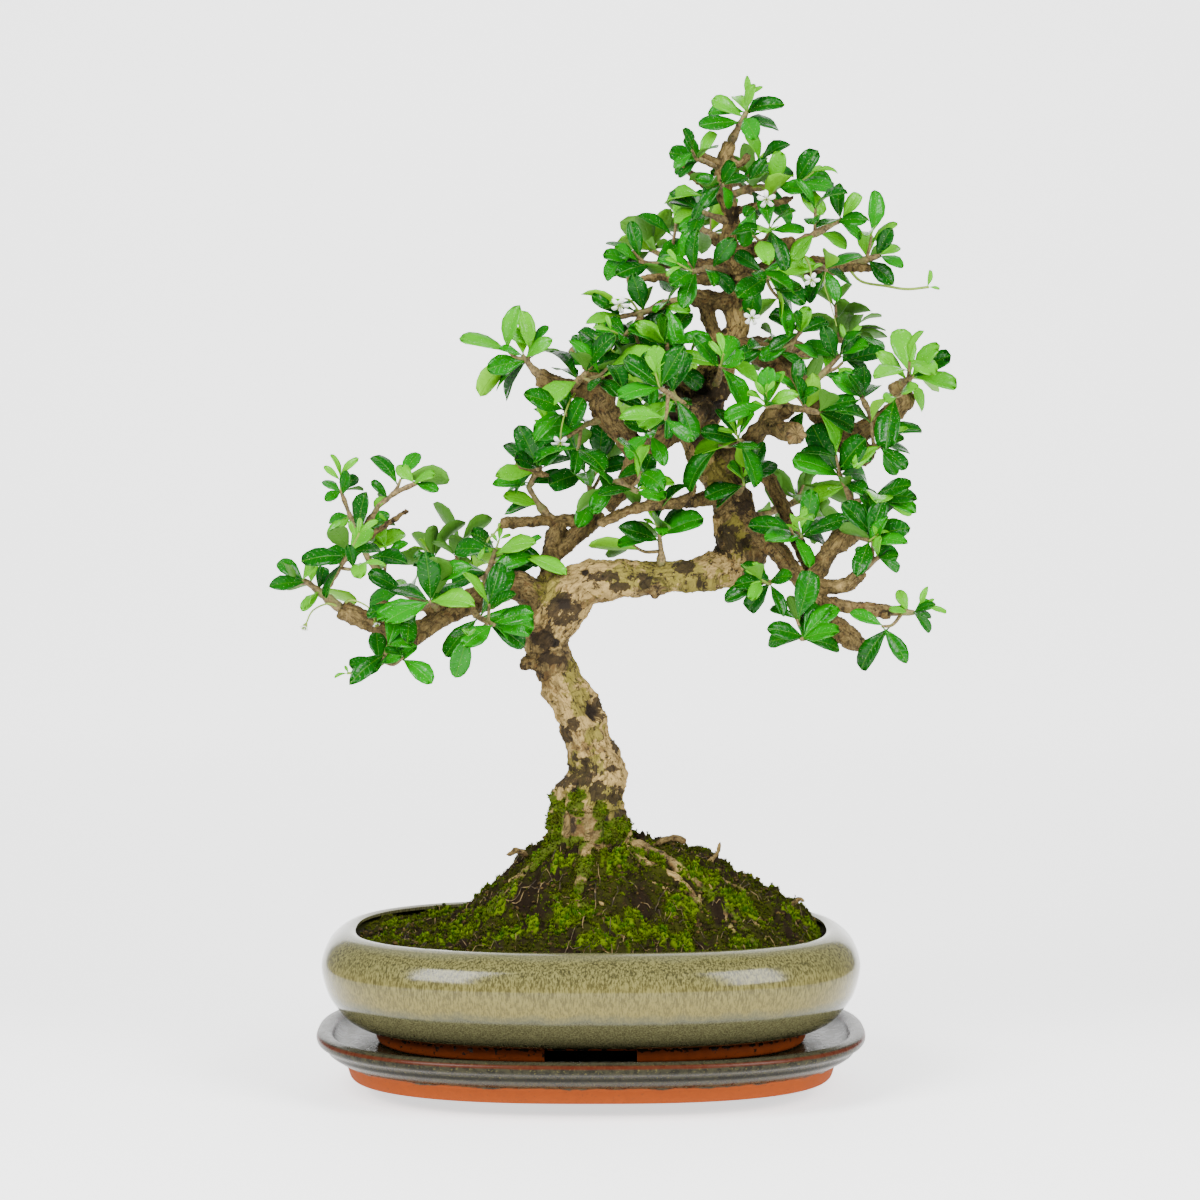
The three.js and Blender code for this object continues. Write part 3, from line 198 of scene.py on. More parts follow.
# Leafy shoots: name, twig radius, then the twig and its tufts, then a fork and its tufts where it has one.
# Twig and fork: across, depth, height of their points, from the limb's axis. Tufts: point of the twig, leaf
# length, then the clock angle of each leaf in degrees, 0 to the right and 90 up in the front view.
SHOOTS = [
    ("left_tip", 3, [(-139, -20, 259), (-152, -22, 269), (-160, -20, 275), (-169, -16, 271)],
     [(1, 16, 225, 75), (2, 23, 180, 150, 60)], [(-150, -22, 267), (-143, -26, 277), (-134, -30, 291)],
     [(2, 25, 178, 60, 118, 20)]),
    ("left_tall", 2.8, [(-84, -14, 258), (-106, -2, 269), (-117, 2, 279), (-126, 4, 290), (-129, 4, 300),
      (-134, 6, 311), (-139, 8, 325)],
     [(1, 24, 150, 200, 60), (3, 29, 0, 32, 190), (4, 27, 75, 45), (5, 16, 211, 195),
      (6, 15, 70, 155, 200, 35)], [(-128, 4, 296), (-122, -4, 311), (-112, -8, 322), (-97, -10, 329)],
     [(2, 13, 135, 190), (3, 18, 32, 140, 350)]),
    ("left_under", 2.6, [(-112, -20, 234), (-116, -31, 230), (-118, -40, 228)], [(2, 20, 183, 105, 20)]),
    ("left_mid", 2.8, [(-84, -14, 258), (-88, -28, 262), (-90, -38, 263)], [(2, 31, 96, 156, 203, 15, 190)]),
    ("left_inner", 2.8, [(-66, -12, 263), (-63, -28, 254), (-54, -38, 250)],
     [(1, 34, 345, 205), (2, 25, 15, 330, 212)]),
    ("left_rise", 2.8, [(-60, -10, 266), (-57, -4, 280), (-53, 2, 292)],
     [(1, 26, 170, 195, 60, 20), (2, 26, 27, 178, 140, 330)]),
    ("left_far", 2.8, [(-58, 54, 276), (-72, 62, 283), (-88, 64, 287)],
     [(1, 26, 100, 20, 250), (2, 27, 180, 130, 225, 60)]),
    ("shoulder_left", 2.8, [(-18, 12, 306), (-30, 6, 318), (-35, 0, 329), (-29, -5, 338)],
     [(1, 22, 165, 200, 100), (2, 21, 180, 20), (3, 26, 183, 135, 155, 100, 60)]),
    ("shoulder_top", 2.8, [(4, 20, 313), (0, 16, 324), (-3, 12, 335)],
     [(1, 22, 236, 10, 160), (2, 28, 55, 118, 195, 20)]),
    ("shoulder_front", 2.6, [(15, -17, 324), (14, -31, 331), (26, -38, 324)],
     [(1, 23, 236, 30, 100), (2, 22, 180, 18, 343, 60)]),
    ("mid_left_tip", 2.8, [(-25, -21, 386), (-33, -25, 393), (-38, -28, 400)],
     [(1, 26, 195, 230, 330), (2, 21, 40, 100, 165)]),
    ("mid_left_rise", 2.6, [(-10, -18, 381), (-7, -30, 386), (-2, -38, 391)],
     [(1, 29, 209, 160), (2, 29, 55, 15, 120, 85)]),
    ("mid_left_knot", 2.8, [(6, -18, 380), (12, -8, 393), (10, 2, 402)], [(2, 24, 185, 100, 60, 20, 150)]),
    ("mid_left_hang", 2.6, [(9, -17, 366), (-4, -26, 361), (-16, -30, 353)],
     [(1, 30, 185, 100, 240), (2, 26, 67, 200, 230, 120)]),
    ("mid_left_heart", 2.4, [(30, -11, 348), (34, -27, 353), (33, -38, 357)], [(2, 22, 290, 216, 150, 60)]),
    ("burl_left", 2.8, [(34, -3, 391), (24, -6, 397), (15, -8, 400)],
     [(1, 25, 80, 235, 300), (2, 25, 200, 160, 110)]),
    ("burl_high", 2.6, [(45, 0, 385), (43, -13, 396), (42, -22, 406)],
     [(1, 24, 200, 330), (2, 27, 150, 60, 100, 20)]),
    ("burl_front", 2.6, [(52, -50, 371), (46, -60, 377), (38, -66, 382)],
     [(1, 26, 216, 300, 20, 60), (2, 27, 150, 100, 190, 50)]),
    ("burl_face", 2.6, [(68, -2, 380), (71, -22, 388), (72, -33, 394)],
     [(2, 27, 130, 60, 20, 165, 250, 300)]),
    ("centre_low", 2.6, [(85, -12, 349), (83, -28, 352), (82, -38, 353)], [(2, 27, 165, 195, 70, 300, 120)]),
    ("centre_front", 2.6, [(107, -29, 371), (101, -40, 373), (97, -50, 372)],
     [(2, 22, 100, 60, 150, 200, 20)]),
    ("centre_right", 2.6, [(108, -29, 371), (118, -36, 370), (127, -42, 368)],
     [(1, 23, 100, 240), (2, 26, 20, 340, 60, 300)]),
    ("second_left", 3, [(55, -3, 432), (41, -6, 428), (27, -9, 423), (16, -12, 421)],
     [(1, 28, 237, 265, 60), (2, 22, 110, 300, 160), (3, 24, 190, 215, 150)],
     [(28, -9, 423), (24, -20, 415), (18, -28, 410)], [(2, 21, 185, 150, 215, 20)]),
    ("upper_left", 3, [(58, 10, 449), (46, 12, 450), (34, 8, 450), (26, 3, 451)],
     [(1, 24, 60, 250, 120), (2, 26, 20, 43, 200), (3, 24, 170, 195, 150)],
     [(45, 12, 450), (40, 28, 455), (33, 40, 458)], [(2, 25, 170, 100, 220, 30, 60)]),
    ("upper_face", 2.6, [(79, 2, 446), (66, -12, 448), (56, -20, 446)],
     [(1, 22, 60, 300), (2, 23, 250, 160, 210, 100)]),
    ("apex", 3, [(77, 2, 517), (81, 1, 523), (84, 0, 530), (86, 0, 534)],
     [(2, 26, 182, 355, 300), (3, 21, 146, 35, 75, 15, 170)]),
    ("apex_left", 2.4, [(73, 2, 503), (65, -4, 506), (59, -7, 508)], [(2, 19, 165, 195, 120, 225, 60)]),
    ("apex_front", 2.4, [(74, 2, 488), (73, -10, 492), (72, -18, 494)], [(2, 18, 165, 25, 60, 300, 220)]),
    ("apex_far", 2.4, [(75, 2, 492), (82, 16, 496), (88, 25, 499)],
     [(1, 19, 150, 30), (2, 21, 20, 100, 340, 150)]),
    ("neck_left", 2.4, [(77, 2, 473), (68, -3, 477), (61, -6, 479)], [(2, 21, 215, 190, 238, 150, 60)]),
    ("upper_right_one", 2.6, [(75, 2, 487), (88, -4, 492), (102, -6, 493), (114, -8, 494)],
     [(1, 19, 60, 300), (2, 22, 70, 290, 350), (3, 24, 352, 15, 320, 50)]),
    ("upper_right_two", 2.6, [(112, -13, 461), (126, -18, 468), (139, -20, 475)],
     [(1, 20, 225, 340, 70), (2, 19, 10, 330, 200, 100, 55)]),
    ("upper_right_in", 2.4, [(98, -7, 460), (98, -20, 466), (99, -29, 470)], [(2, 23, 0, 180, 45, 300, 120)]),
    ("upper_right_three", 2.8, [(144, 17, 450), (152, 14, 452), (160, 9, 455)],
     [(1, 21, 318, 95, 240), (2, 19, 70, 20, 330)]),
    ("upper_right_low", 2.6, [(92, 6, 445), (95, -10, 446), (98, -20, 443)],
     [(1, 24, 25, 160), (2, 31, 330, 310, 210, 15)]),
    ("upper_right_mid", 2.6, [(122, 13, 449), (127, 0, 449), (130, -9, 447)],
     [(2, 21, 300, 335, 80, 250, 20)]),
    ("upper_far", 2.6, [(70, 46, 464), (65, 56, 468), (58, 63, 470)],
     [(1, 24, 60, 330, 200), (2, 25, 170, 110, 230, 20)]),
    ("right_tip", 2.8, [(170, -22, 383), (176, -34, 386), (178, -43, 388)],
     [(1, 23, 140, 300, 15), (2, 29, 38, 100, 62, 350)]),
    ("right_elbow", 2.6, [(158, -19, 362), (153, -28, 371), (150, -34, 377)],
     [(2, 22, 125, 30, 160, 90, 210)]),
    ("right_under", 2.6, [(150, -18, 346), (157, -28, 349), (162, -35, 350)],
     [(2, 20, 325, 350, 20, 290, 200)]),
    ("right_high", 2.6, [(104, -6, 396), (111, -12, 406), (116, -16, 413)],
     [(1, 20, 200, 330), (2, 19, 70, 20, 110, 150)]),
    ("right_crest", 2.6, [(119, -11, 380), (130, -8, 391), (138, -6, 400)],
     [(1, 22, 345, 60, 120), (2, 21, 105, 155, 20, 60, 330)]),
    ("right_far", 2.6, [(124, 54, 402), (134, 60, 407), (144, 62, 411)],
     [(1, 24, 60, 200, 300), (2, 25, 10, 100, 340, 150)]),
    ("mid_far", 2.8, [(48, 58, 372), (40, 66, 377), (30, 70, 381)],
     [(1, 25, 60, 300, 120), (2, 26, 180, 140, 210, 90)]),
    ("low_far", 2.8, [(92, 52, 310), (104, 59, 315), (116, 63, 319)],
     [(1, 25, 100, 300, 200), (2, 26, 10, 60, 340, 130)]),
    ("low_centre", 2.6, [(80, 2, 322), (84, -18, 328), (85, -28, 328)],
     [(2, 25, 195, 30, 120, 215, 250, 70)]),
    ("low_inner", 2.6, [(113, 4, 302), (115, -8, 301), (117, -18, 299)],
     [(2, 29, 165, 30, 178, 10, 75, 205)]),
    ("low_hang", 2.4, [(111, -20, 282), (104, -29, 277), (99, -34, 273)], [(2, 23, 182, 235, 40, 150, 290)]),
    ("low_tip", 2.4, [(165, -33, 257), (173, -33, 257), (180, -32, 257)],
     [(2, 15, 150, 110, 355, 25, 325, 190)]),
    ("low_end", 2.6, [(126, -28, 245), (120, -37, 243), (117, -44, 242)],
     [(2, 27, 160, 190, 20, 70, 40, 350)]),
    ("low_burl", 2.8, [(144, -16, 303), (146, -17, 317), (141, -19, 328), (137, -21, 335)],
     [(2, 21, 95, 200, 345), (3, 29, 155, 15, 60, 130)], [(145, -17, 318), (152, -21, 321), (158, -24, 322)],
     [(2, 28, 5, 345, 22, 325)]),
    ("low_burl_side", 2.4, [(146, -17, 301), (152, -29, 298), (155, -36, 297)],
     [(2, 26, 18, 320, 0, 65, 250)]),
    ("low_side", 2.4, [(149, -34, 279), (156, -36, 284), (160, -38, 288)], [(2, 15, 150, 60, 20, 100, 340)]),
    ("bridge", 2.8, [(39, -3, 279), (39, -8, 293), (38, -12, 300)], [(2, 26, 164, 47, 80, 20, 195)]),
]

# Outline of a leaf in the frame: share of the length, share of the half width and lift as a share of
# the length
BLADE_RIM = [(0, 0, 0), (0.62, 0.96, 0.05), (0.94, 0.52, -0.01), (1, -0.34, -0.03), (0.7, -1, 0.04)]

# Extra stubs and dead twigs of the trunk piece, written like the limbs
STUBS = [
    [(33, -5, 275, 3.4), (34, -7, 271, 2.8), (36, -9, 265, 2.2)],
    [(-126, 3, 297, 1.8), (-118, -3, 303, 1.7), (-102, -8, 314, 1.2)],
    [(-23, -6, 333, 1.3), (-31, -4, 335, 1.9), (-42, -6, 340, 1.2)],
    [(74, 2, 489, 2.4), (62, -3, 494, 1.9), (49, -6, 506, 1.2)],
    [(137, 16, 449, 3), (150, 14, 448, 2.2), (157, 12, 448, 1.6)],
    [(78, 2, 441, 3.4), (53, -5, 442, 2.5), (36, -8, 443, 2.1), (20, -9, 441, 1.3)],
    [(76, 2, 503, 2.1), (64, -4, 509, 1.9), (54, -7, 514, 1.5)],
    [(78, 0, 478, 2.4), (94, -10, 483, 2), (104, -14, 484, 1.7), (112, -16, 487, 1.2)],
    [(76, 2, 507, 2.6), (83, 0, 505, 2), (87, -1, 511, 1.4)],
    [(47, -20, 318, 2), (57, -22, 324, 1.7), (56, -23, 334, 1)],
    [(-92, -15, 249, 3), (-96, -20, 243, 2.6), (-97, -22, 239, 2)],
    [(61, 5, 357, 7), (49, -5, 369, 6.4), (44, -8, 377, 5.2)],
    [(62, 6, 375, 9), (70, -6, 381, 7), (73, -9, 386, 5)],
    [(84, 2, 293, 8), (93, -3, 291, 5), (97, -5, 289, 3.6)],
    [(-24, -3, 243, 9), (-31, -7, 242, 6), (-34, -8, 241, 4)],
    [(64, -8, 112, 1.4), (67, -9, 118, 1.3), (71, -10, 122, 1.2), (72, -10, 129, 0.9)],
    [(36, -8, 127, 1.3), (42, -9, 130, 2), (49, -9, 130.5, 2.2), (53, -9, 128.5, 1.8)],
    [(-36, -8, 120, 1.5), (-41, -12, 123, 1.4), (-48, -13, 121, 1)],
    [(112, -14, 92, 1.3), (116, -15, 96, 1.1), (120, -16, 95, 0.7)],
]

# Dips and scars in the wood's front: across, height, half width, half height, how deep
SCARS = [
    (1, 203, 3.6, 5.2, 4.2), (-3.3, 280.6, 2.4, 2, 2.6), (-15, 263, 4.5, 3.5, 1.6),
    (-19.5, 241, 2.6, 2.6, 1.4), (9, 142, 2.5, 5, 1.5), (-9, 158, 2, 6, 1.3), (62, 380, 4, 3, 2.2),
    (52, 371, 3, 3, 2), (71, 372, 3, 4, 2),
]

# Patches on the front of the wood: across, height, half width, half height. Bright moss, dark crusts, brown
# strips and olive lichen.
WOOD_MOSS = [
    (-7, 152, 5, 9), (-19, 143, 5, 13), (12, 136, 9, 8), (5, 147, 3.5, 7), (-26, 122, 9, 8), (2, 121, 13, 5),
    (22, 121, 7, 6),
]
CRUSTS = [
    (-2, 169, 10, 5), (13, 156, 6, 6), (-15, 259, 9, 10), (-22, 232, 8, 3), (7, 278, 8, 2.5),
    (15, 272, 6, 2.5), (29, 276, 4, 4), (52, 283, 6, 4), (4, 204, 6, 7), (-13, 188, 3, 5), (11, 171, 4, 2),
    (74, 297, 10, 8), (46, 370, 9, 12), (66, 376, 10, 12), (62, 352, 9, 6), (72, 404, 6, 8), (84, 318, 6, 7),
    (-26, 244, 6, 5), (-15, 163, 7, 5), (4, 160, 5, 7), (17, 143, 5, 7), (-4, 166, 8, 6), (-9, 196, 3, 4),
    (14, 186, 3, 8), (-4, 176, 5, 3), (78, 356, 5, 6), (76, 440, 5, 6), (78, 478, 4, 6),
]
RUSTS = [(-22, 219, 6, 11), (-6, 184, 6, 6), (-16, 172, 6, 8), (3, 262, 9, 5), (-7, 132, 4, 9)]
LICHENS = [
    (44, 280, 24, 8), (60, 272, 14, 6), (-6, 207, 6, 8), (-10, 224, 6, 9), (1, 190, 6, 6), (20, 277, 12, 7),
    (12, 150, 9, 9), (-2, 172, 12, 8), (80, 300, 8, 12), (-24, 270, 8, 8), (70, 334, 8, 10), (0, 158, 14, 8),
]

# Paler roots that lie on the soil: across, depth, radius
SOIL_ROOTS = [
    [(-28, -26, 1.9), (-37, -23, 1.7), (-45, -18, 1.2)],
    [(1, -56, 1.7), (9, -59, 1.5), (18, -62, 1)],
    [(19, -36, 2.2), (28, -43, 1.7), (40, -45, 1.4), (47, -54, 1)],
    [(-40, 20, 2), (-58, 28, 1.5), (-70, 24, 1)],
    [(-20, -52, 2.2), (-12, -58, 2), (-2, -60, 1.4)],
    [(70, -22, 1.5), (84, -20, 1.2), (97, -24, 0.8)],
    [(60, -24, 1.7), (68, -38, 2.1), (75, -53, 1.9), (79, -64, 1.3)],
    [(44, -20, 1.4), (56, -30, 1.7), (60, -44, 1.2)],
    [(84, -40, 1.5), (92, -48, 1.6), (95, -58, 1)],
]

# Moss cushions: across, depth, half width, half depth, how bright
MOSS_CUSHIONS = [
    (-43, -66, 15, 8, 0.9), (-55, -38, 17, 9, 0.8), (-10, -64, 16, 8, 0.8), (21, -70, 14, 7, 0.9),
    (2, -82, 16, 6, 0.7), (32, -74, 12, 6, 0.8), (49, -54, 11, 9, 1), (48, -76, 10, 6, 0.7),
    (61, -30, 13, 9, 0.9), (81, -41, 14, 9, 1), (121, -24, 9, 12, 0.7), (112, -22, 10, 9, 0.9),
    (15, -35, 10, 7, 0.9), (33, -30, 9, 6, 0.9), (83, -70, 9, 6, 0.9), (-108, 24, 10, 12, 0.7),
    (-87, 56, 18, 9, 0.8), (-71, -42, 10, 9, 0.8), (-113, -26, 9, 9, 0.7), (-93, -46, 11, 8, 0.8),
    (-30, 62, 22, 10, 0.9), (24, 66, 20, 9, 0.8), (70, 58, 18, 10, 0.9), (104, 38, 13, 11, 0.8),
    (-62, 20, 14, 10, 0.8), (44, 30, 15, 9, 0.8), (-16, -34, 8, 6, 0.8), (-78, -20, 12, 8, 0.6),
]

# Flowers: the points of the stalk, across, depth, height, and how far the flower is open
FLOWERS = [
    ([(-8, -20, 380), (-12, -34, 374), (-16, -38, 362), (-17, -39, 352)], 1),
    ([(112, -13, 461), (117, -18, 456), (121, -26, 449), (122, -30, 442)], 0.9),
    ([(-139, -20, 259), (-146, -26, 262), (-155, -28, 258), (-159, -28, 250)], 0.5),
    ([(-139, -20, 259), (-134, -26, 264), (-124, -28, 260), (-120, -28, 252)], 0.4),
    ([(88, -4, 492), (93, -10, 493), (97, -18, 490), (97, -24, 486)], 1),
    ([(82, 3, 424), (84, -10, 426), (88, -20, 425), (89, -26, 421)], 0.9),
    ([(27, -9, 423), (22, -14, 430), (17, -22, 431), (16, -25, 428)], 1),
    ([(58, 63, 470), (54, 68, 474), (50, 70, 471)], 0.9),
    ([(30, 70, 381), (26, 74, 386), (21, 76, 384)], 0.8),
]

# Thin green growth with tiny leaves: across, depth, height of its points and its radius
THIN_GROWTH = [
    ([(143, 16, 447), (150, 11, 440.5), (164, 8, 438), (175, 7, 436.4), (187, 5, 437.6)], 0.8),
    ([(130, -8, 447), (129, -10, 439), (133, -12, 427), (136, -12, 416)], 0.35),
    ([(-115, -20, 231), (-121, -24, 227), (-130, -26, 224), (-136, -26, 223)], 0.7),
    ([(-50, 2, 307), (-53, -4, 302), (-57, -6, 298), (-59, -7, 294)], 0.6),
]

# Small leaves on the thin growth: across, depth and height of the root, then clock, lean and length
SMALL_LEAVES = [
    ((186, 5, 437.6), 82, -12, 9), ((187, 5, 437.6), -4, 10, 6), ((-59, -7, 294), 250, -10, 8),
    ((-58, -6, 296), 300, 8, 7), ((-136, -26, 223), 200, -10, 7), ((-135, -26, 223), 130, 10, 6),
    ((88, -14, 425), 20, -10, 7), ((122, -23, 447), 30, -14, 7), ((121, -22, 448), 150, 10, 6),
    ((97, -12, 489), 330, -10, 8), ((-12, -34, 374), 300, 8, 7), ((17, -17, 431), 200, -8, 7),
]

# How much of each shoot's growth is young and bright. The rest have YOUNG_SHARE.
YOUNG_SHARE = 0.12
YOUNG_SHOOTS = {
    "right_tip": 0.8, "centre_front": 0.6, "mid_left_tip": 0.5, "low_burl": 0.4, "left_tip": 0.4,
    "burl_face": 0.4, "apex": 0.4, "upper_right_three": 0.4, "mid_left_rise": 0.3, "centre_right": 0.3,
    "left_tall": 0.25, "upper_right_one": 0.2,
}


# Settings that a user would change

def colour_setting(name, description, colour):
    """A colour that a user may change."""
    return FloatVectorProperty(
        name=name, description=description, subtype="COLOR", size=3, default=colour, min=0, max=1)


def length_setting(name, description, metres):
    """A length that a user may change."""
    return FloatProperty(
        name=name, description=description, default=metres, unit="LENGTH", subtype="DISTANCE")


class CeramicSettings(PropertyGroup):
    """Sizes and colours of the pot and its saucer."""
    steps: IntProperty(name="Steps", description="Faces round the pot", default=176, min=24)
    upper_glaze: colour_setting("Upper glaze", "Glaze on the shoulder", tint(82, 79, 45))
    belly_glaze: colour_setting("Belly glaze", "Pale glaze round the middle", tint(104, 95, 48))
    lower_glaze: colour_setting("Lower glaze", "Dark glaze above the foot", tint(74, 72, 48))
    clay: colour_setting("Clay", "Bare fired clay", tint(138, 62, 20))
    saucer_glaze: colour_setting("Saucer glaze", "Glaze on the saucer", tint(38, 36, 22))


class SoilSettings(PropertyGroup):
    """Sizes and colours of the soil and the moss."""
    lump: length_setting("Lump", "Height of the soil's lumps", 0.0046)
    moss_rise: length_setting("Moss rise", "How far moss stands above the soil", 0.0024)
    sprigs: IntProperty(name="Sprigs", description="Moss sprigs on the soil", default=33000, min=0)
    earth: colour_setting("Earth", "Dark soil", tint(23, 16, 8))
    moss: colour_setting("Moss", "Bright moss", tint(86, 109, 0))


class WoodSettings(PropertyGroup):
    """Sizes and colours of the trunk and its limbs."""
    voxel: length_setting("Voxel", "Grain of the wood's mesh", 0.00122)
    pale_bark: colour_setting("Pale bark", "Dry bark on the trunk", tint(164, 138, 82))
    brown_bark: colour_setting("Brown bark", "Bark on the limbs", tint(94, 78, 44))
    scar: colour_setting("Scar", "Dark wounds and burls", tint(30, 22, 12))


class LeafSettings(PropertyGroup):
    """Sizes and colours of the leaves and flowers."""
    thickness: length_setting("Thickness", "Thickness of a leaf", 0.00036)
    extra: IntProperty(name="Extra leaves", description="Leaves tried round each tuft", default=1, min=0)
    dark: colour_setting("Dark leaf", "Old leaves", tint(0, 72, 0))
    middle: colour_setting("Middle leaf", "Full grown leaves", tint(12, 122, 0))
    young: colour_setting("Young leaf", "New leaves", tint(80, 164, 0))
    petal: colour_setting("Petal", "Flower petals", tint(246, 246, 240))


class StageSettings(PropertyGroup):
    """Light and floor."""
    key_power: FloatProperty(
        name="Key light", description="Power of the light at the front left", default=78, subtype="POWER",
        unit="POWER")
    fill_power: FloatProperty(
        name="Fill light", description="Power of the light at the front right", default=56, subtype="POWER",
        unit="POWER")
    world: FloatProperty(
        name="World", description="Strength of the light from all round", default=0.58, min=0)
    glow: FloatProperty(name="Glow", description="Light that the backdrop itself gives", default=1.3, min=0)
    floor: colour_setting("Floor", "Floor and backdrop", (0.95, 0.95, 0.95))


# Numbers and places

def chance(*keys):
    """One number from 0 to 1 for each set of keys, the same on every run."""
    weights = (12.9898, 78.233, 37.719)
    mixed = math.sin(sum(key * weight for key, weight in zip(keys, weights))) * 43758.5453
    return mixed - math.floor(mixed)


def shade(colour, share):
    """A colour made darker or brighter."""
    return tuple(min(level * share, 1) for level in colour)


def swing(*keys):
    """One number from -1 to 1 for each set of keys."""
    return chance(*keys) * 2 - 1


def smooth(value, low, high):
    """0 below low, 1 above high, and a soft step between."""
    share = min(max((value - low) / (high - low), 0), 1)
    return share * share * (3 - 2 * share)


def bumps(point, size):
    """A smooth bumpy field from -1 to 1 over space, with bumps about size across."""
    x, y, z = point / size
    waves = (x * 3.1 + z * 1.7 + 1.3, y * 2.7 - x * 1.9 + 0.4, z * 3.7 + y * 2.3)
    return sum(math.sin(wave) for wave in waves) / 3


def seen(across, depth, height):
    """A point read in the front view, pushed along the sight line to its depth."""
    stretch = 1 + depth / -EYE.y
    return Vector((EYE.x + (across - EYE.x) * stretch, depth, EYE.z + (height - EYE.z) * stretch))


def mound_height(x, y):
    """Height of the soil without its crumbs."""
    q = math.hypot(x / (MOUND_LEFT if x < 0 else MOUND_RIGHT), y / MOUND_DEPTH)
    return SOIL_EDGE + MOUND_RISE * math.exp(-(q ** 3))


def oval_reach(x, y, half_length, half_depth):
    """How far out a place is in an oval of the pot's family, which has 1 on its edge."""
    return (abs(x) / half_length) ** SQUARENESS + (abs(y) / half_depth) ** SQUARENESS


def to_oval(point):
    """A round form's point in the oval plan that the pot, the saucer and the soil share."""
    reach = math.hypot(point.x, point.y)
    if reach < 1e-6:
        return point.copy()
    depth = reach - SIDE_DIFFERENCE if reach > CENTRE_REACH else reach * (1 - SIDE_DIFFERENCE / CENTRE_REACH)
    c = point.x / reach
    s = point.y / reach
    across = reach * math.copysign(abs(c) ** (2 / SQUARENESS), c)
    away = depth * math.copysign(abs(s) ** (2 / SQUARENESS), s)
    return Vector((across, away, point.z))


class Route:
    """A smooth line through points, read by the share of its length, with a radius at each point."""

    DIVISIONS = 200

    def __init__(self, points, radii=()):
        self.points = [Vector(point) for point in points]
        self.radii = list(radii)
        self.reached = [0]
        last = self.spot(0)
        for i in range(1, self.DIVISIONS + 1):
            here = self.spot(i / self.DIVISIONS)
            self.reached.append(self.reached[-1] + (here - last).length)
            last = here
        self.length = self.reached[-1]

    def spot(self, turn):
        """The point at a share of the way from first to last point, each span counting the same."""
        spans = len(self.points) - 1
        before = min(math.floor(turn * spans), spans - 1)
        t = turn * spans - before
        first = self.points[before]
        second = self.points[before + 1]
        ahead = self.points[before - 1] if before > 0 else first * 2 - second
        behind = self.points[before + 2] if before + 2 <= spans else second * 2 - first
        leave = (second - ahead) * 0.5
        arrive = (behind - first) * 0.5
        bend = first * -3 + second * 3 - leave * 2 - arrive
        twist = first * 2 - second * 2 + leave + arrive
        return first + leave * t + bend * t ** 2 + twist * t ** 3

    def turn_of(self, share):
        """The share of the spans at a share of the length."""
        target = share * self.length
        before = min(max(bisect_right(self.reached, target) - 1, 0), self.DIVISIONS - 1)
        division = self.reached[before + 1] - self.reached[before]
        return (before + (target - self.reached[before]) / division) / self.DIVISIONS

    def at(self, share):
        """The point at a share of the length."""
        return self.spot(min(max(self.turn_of(share), 0), 1))

    def radius(self, share):
        """The radius at a share of the length."""
        place = self.turn_of(share) * (len(self.radii) - 1)
        before = min(max(math.floor(place), 0), len(self.radii) - 2)
        return self.radii[before] + (self.radii[before + 1] - self.radii[before]) * (place - before)

    def share_of(self, index):
        """The share of the length at one of the points."""
        target = index / (len(self.points) - 1)
        low = 0
        high = 1
        for _ in range(30):
            middle = (low + high) / 2
            if self.turn_of(middle) < target:
                low = middle
            else:
                high = middle
        return high


def limb_route(rows):
    """The route of a limb that was read in the front view."""
    return Route([seen(*row[:3]) for row in rows], [row[3] for row in rows])


def root_route(rows):
    """The route of a root down the mound, which turns into it at its end."""
    points = [Vector((x, y, mound_height(x, y) + ROOT_RISE * r - ROOT_DROP)) for x, y, r in rows]
    points.append(points[-1] + Vector((0, 0, -2 * rows[-1][2])))
    return Route(points, [row[2] * ROOT_SHARE for row in rows] + [rows[-1][2] * 0.6])


# Finishes

def maths(operation, swapped=False):
    """A method that adds a Math node."""
    def method(self, other=0):
        sockets = {0: other, 1: self} if swapped else {0: self, 1: other}
        return self.finish.node("ShaderNodeMath", {"operation": operation}, sockets)
    return method


class Wire:
    """A node's output. Arithmetic on it adds Math nodes."""

    def __init__(self, finish, socket):
        self.finish = finish
        self.socket = socket

    __add__ = maths("ADD")
    __radd__ = maths("ADD", True)
    __sub__ = maths("SUBTRACT")
    __rsub__ = maths("SUBTRACT", True)
    __mul__ = maths("MULTIPLY")
    __rmul__ = maths("MULTIPLY", True)
    __truediv__ = maths("DIVIDE")
    __pow__ = maths("POWER")
    __abs__ = maths("ABSOLUTE")


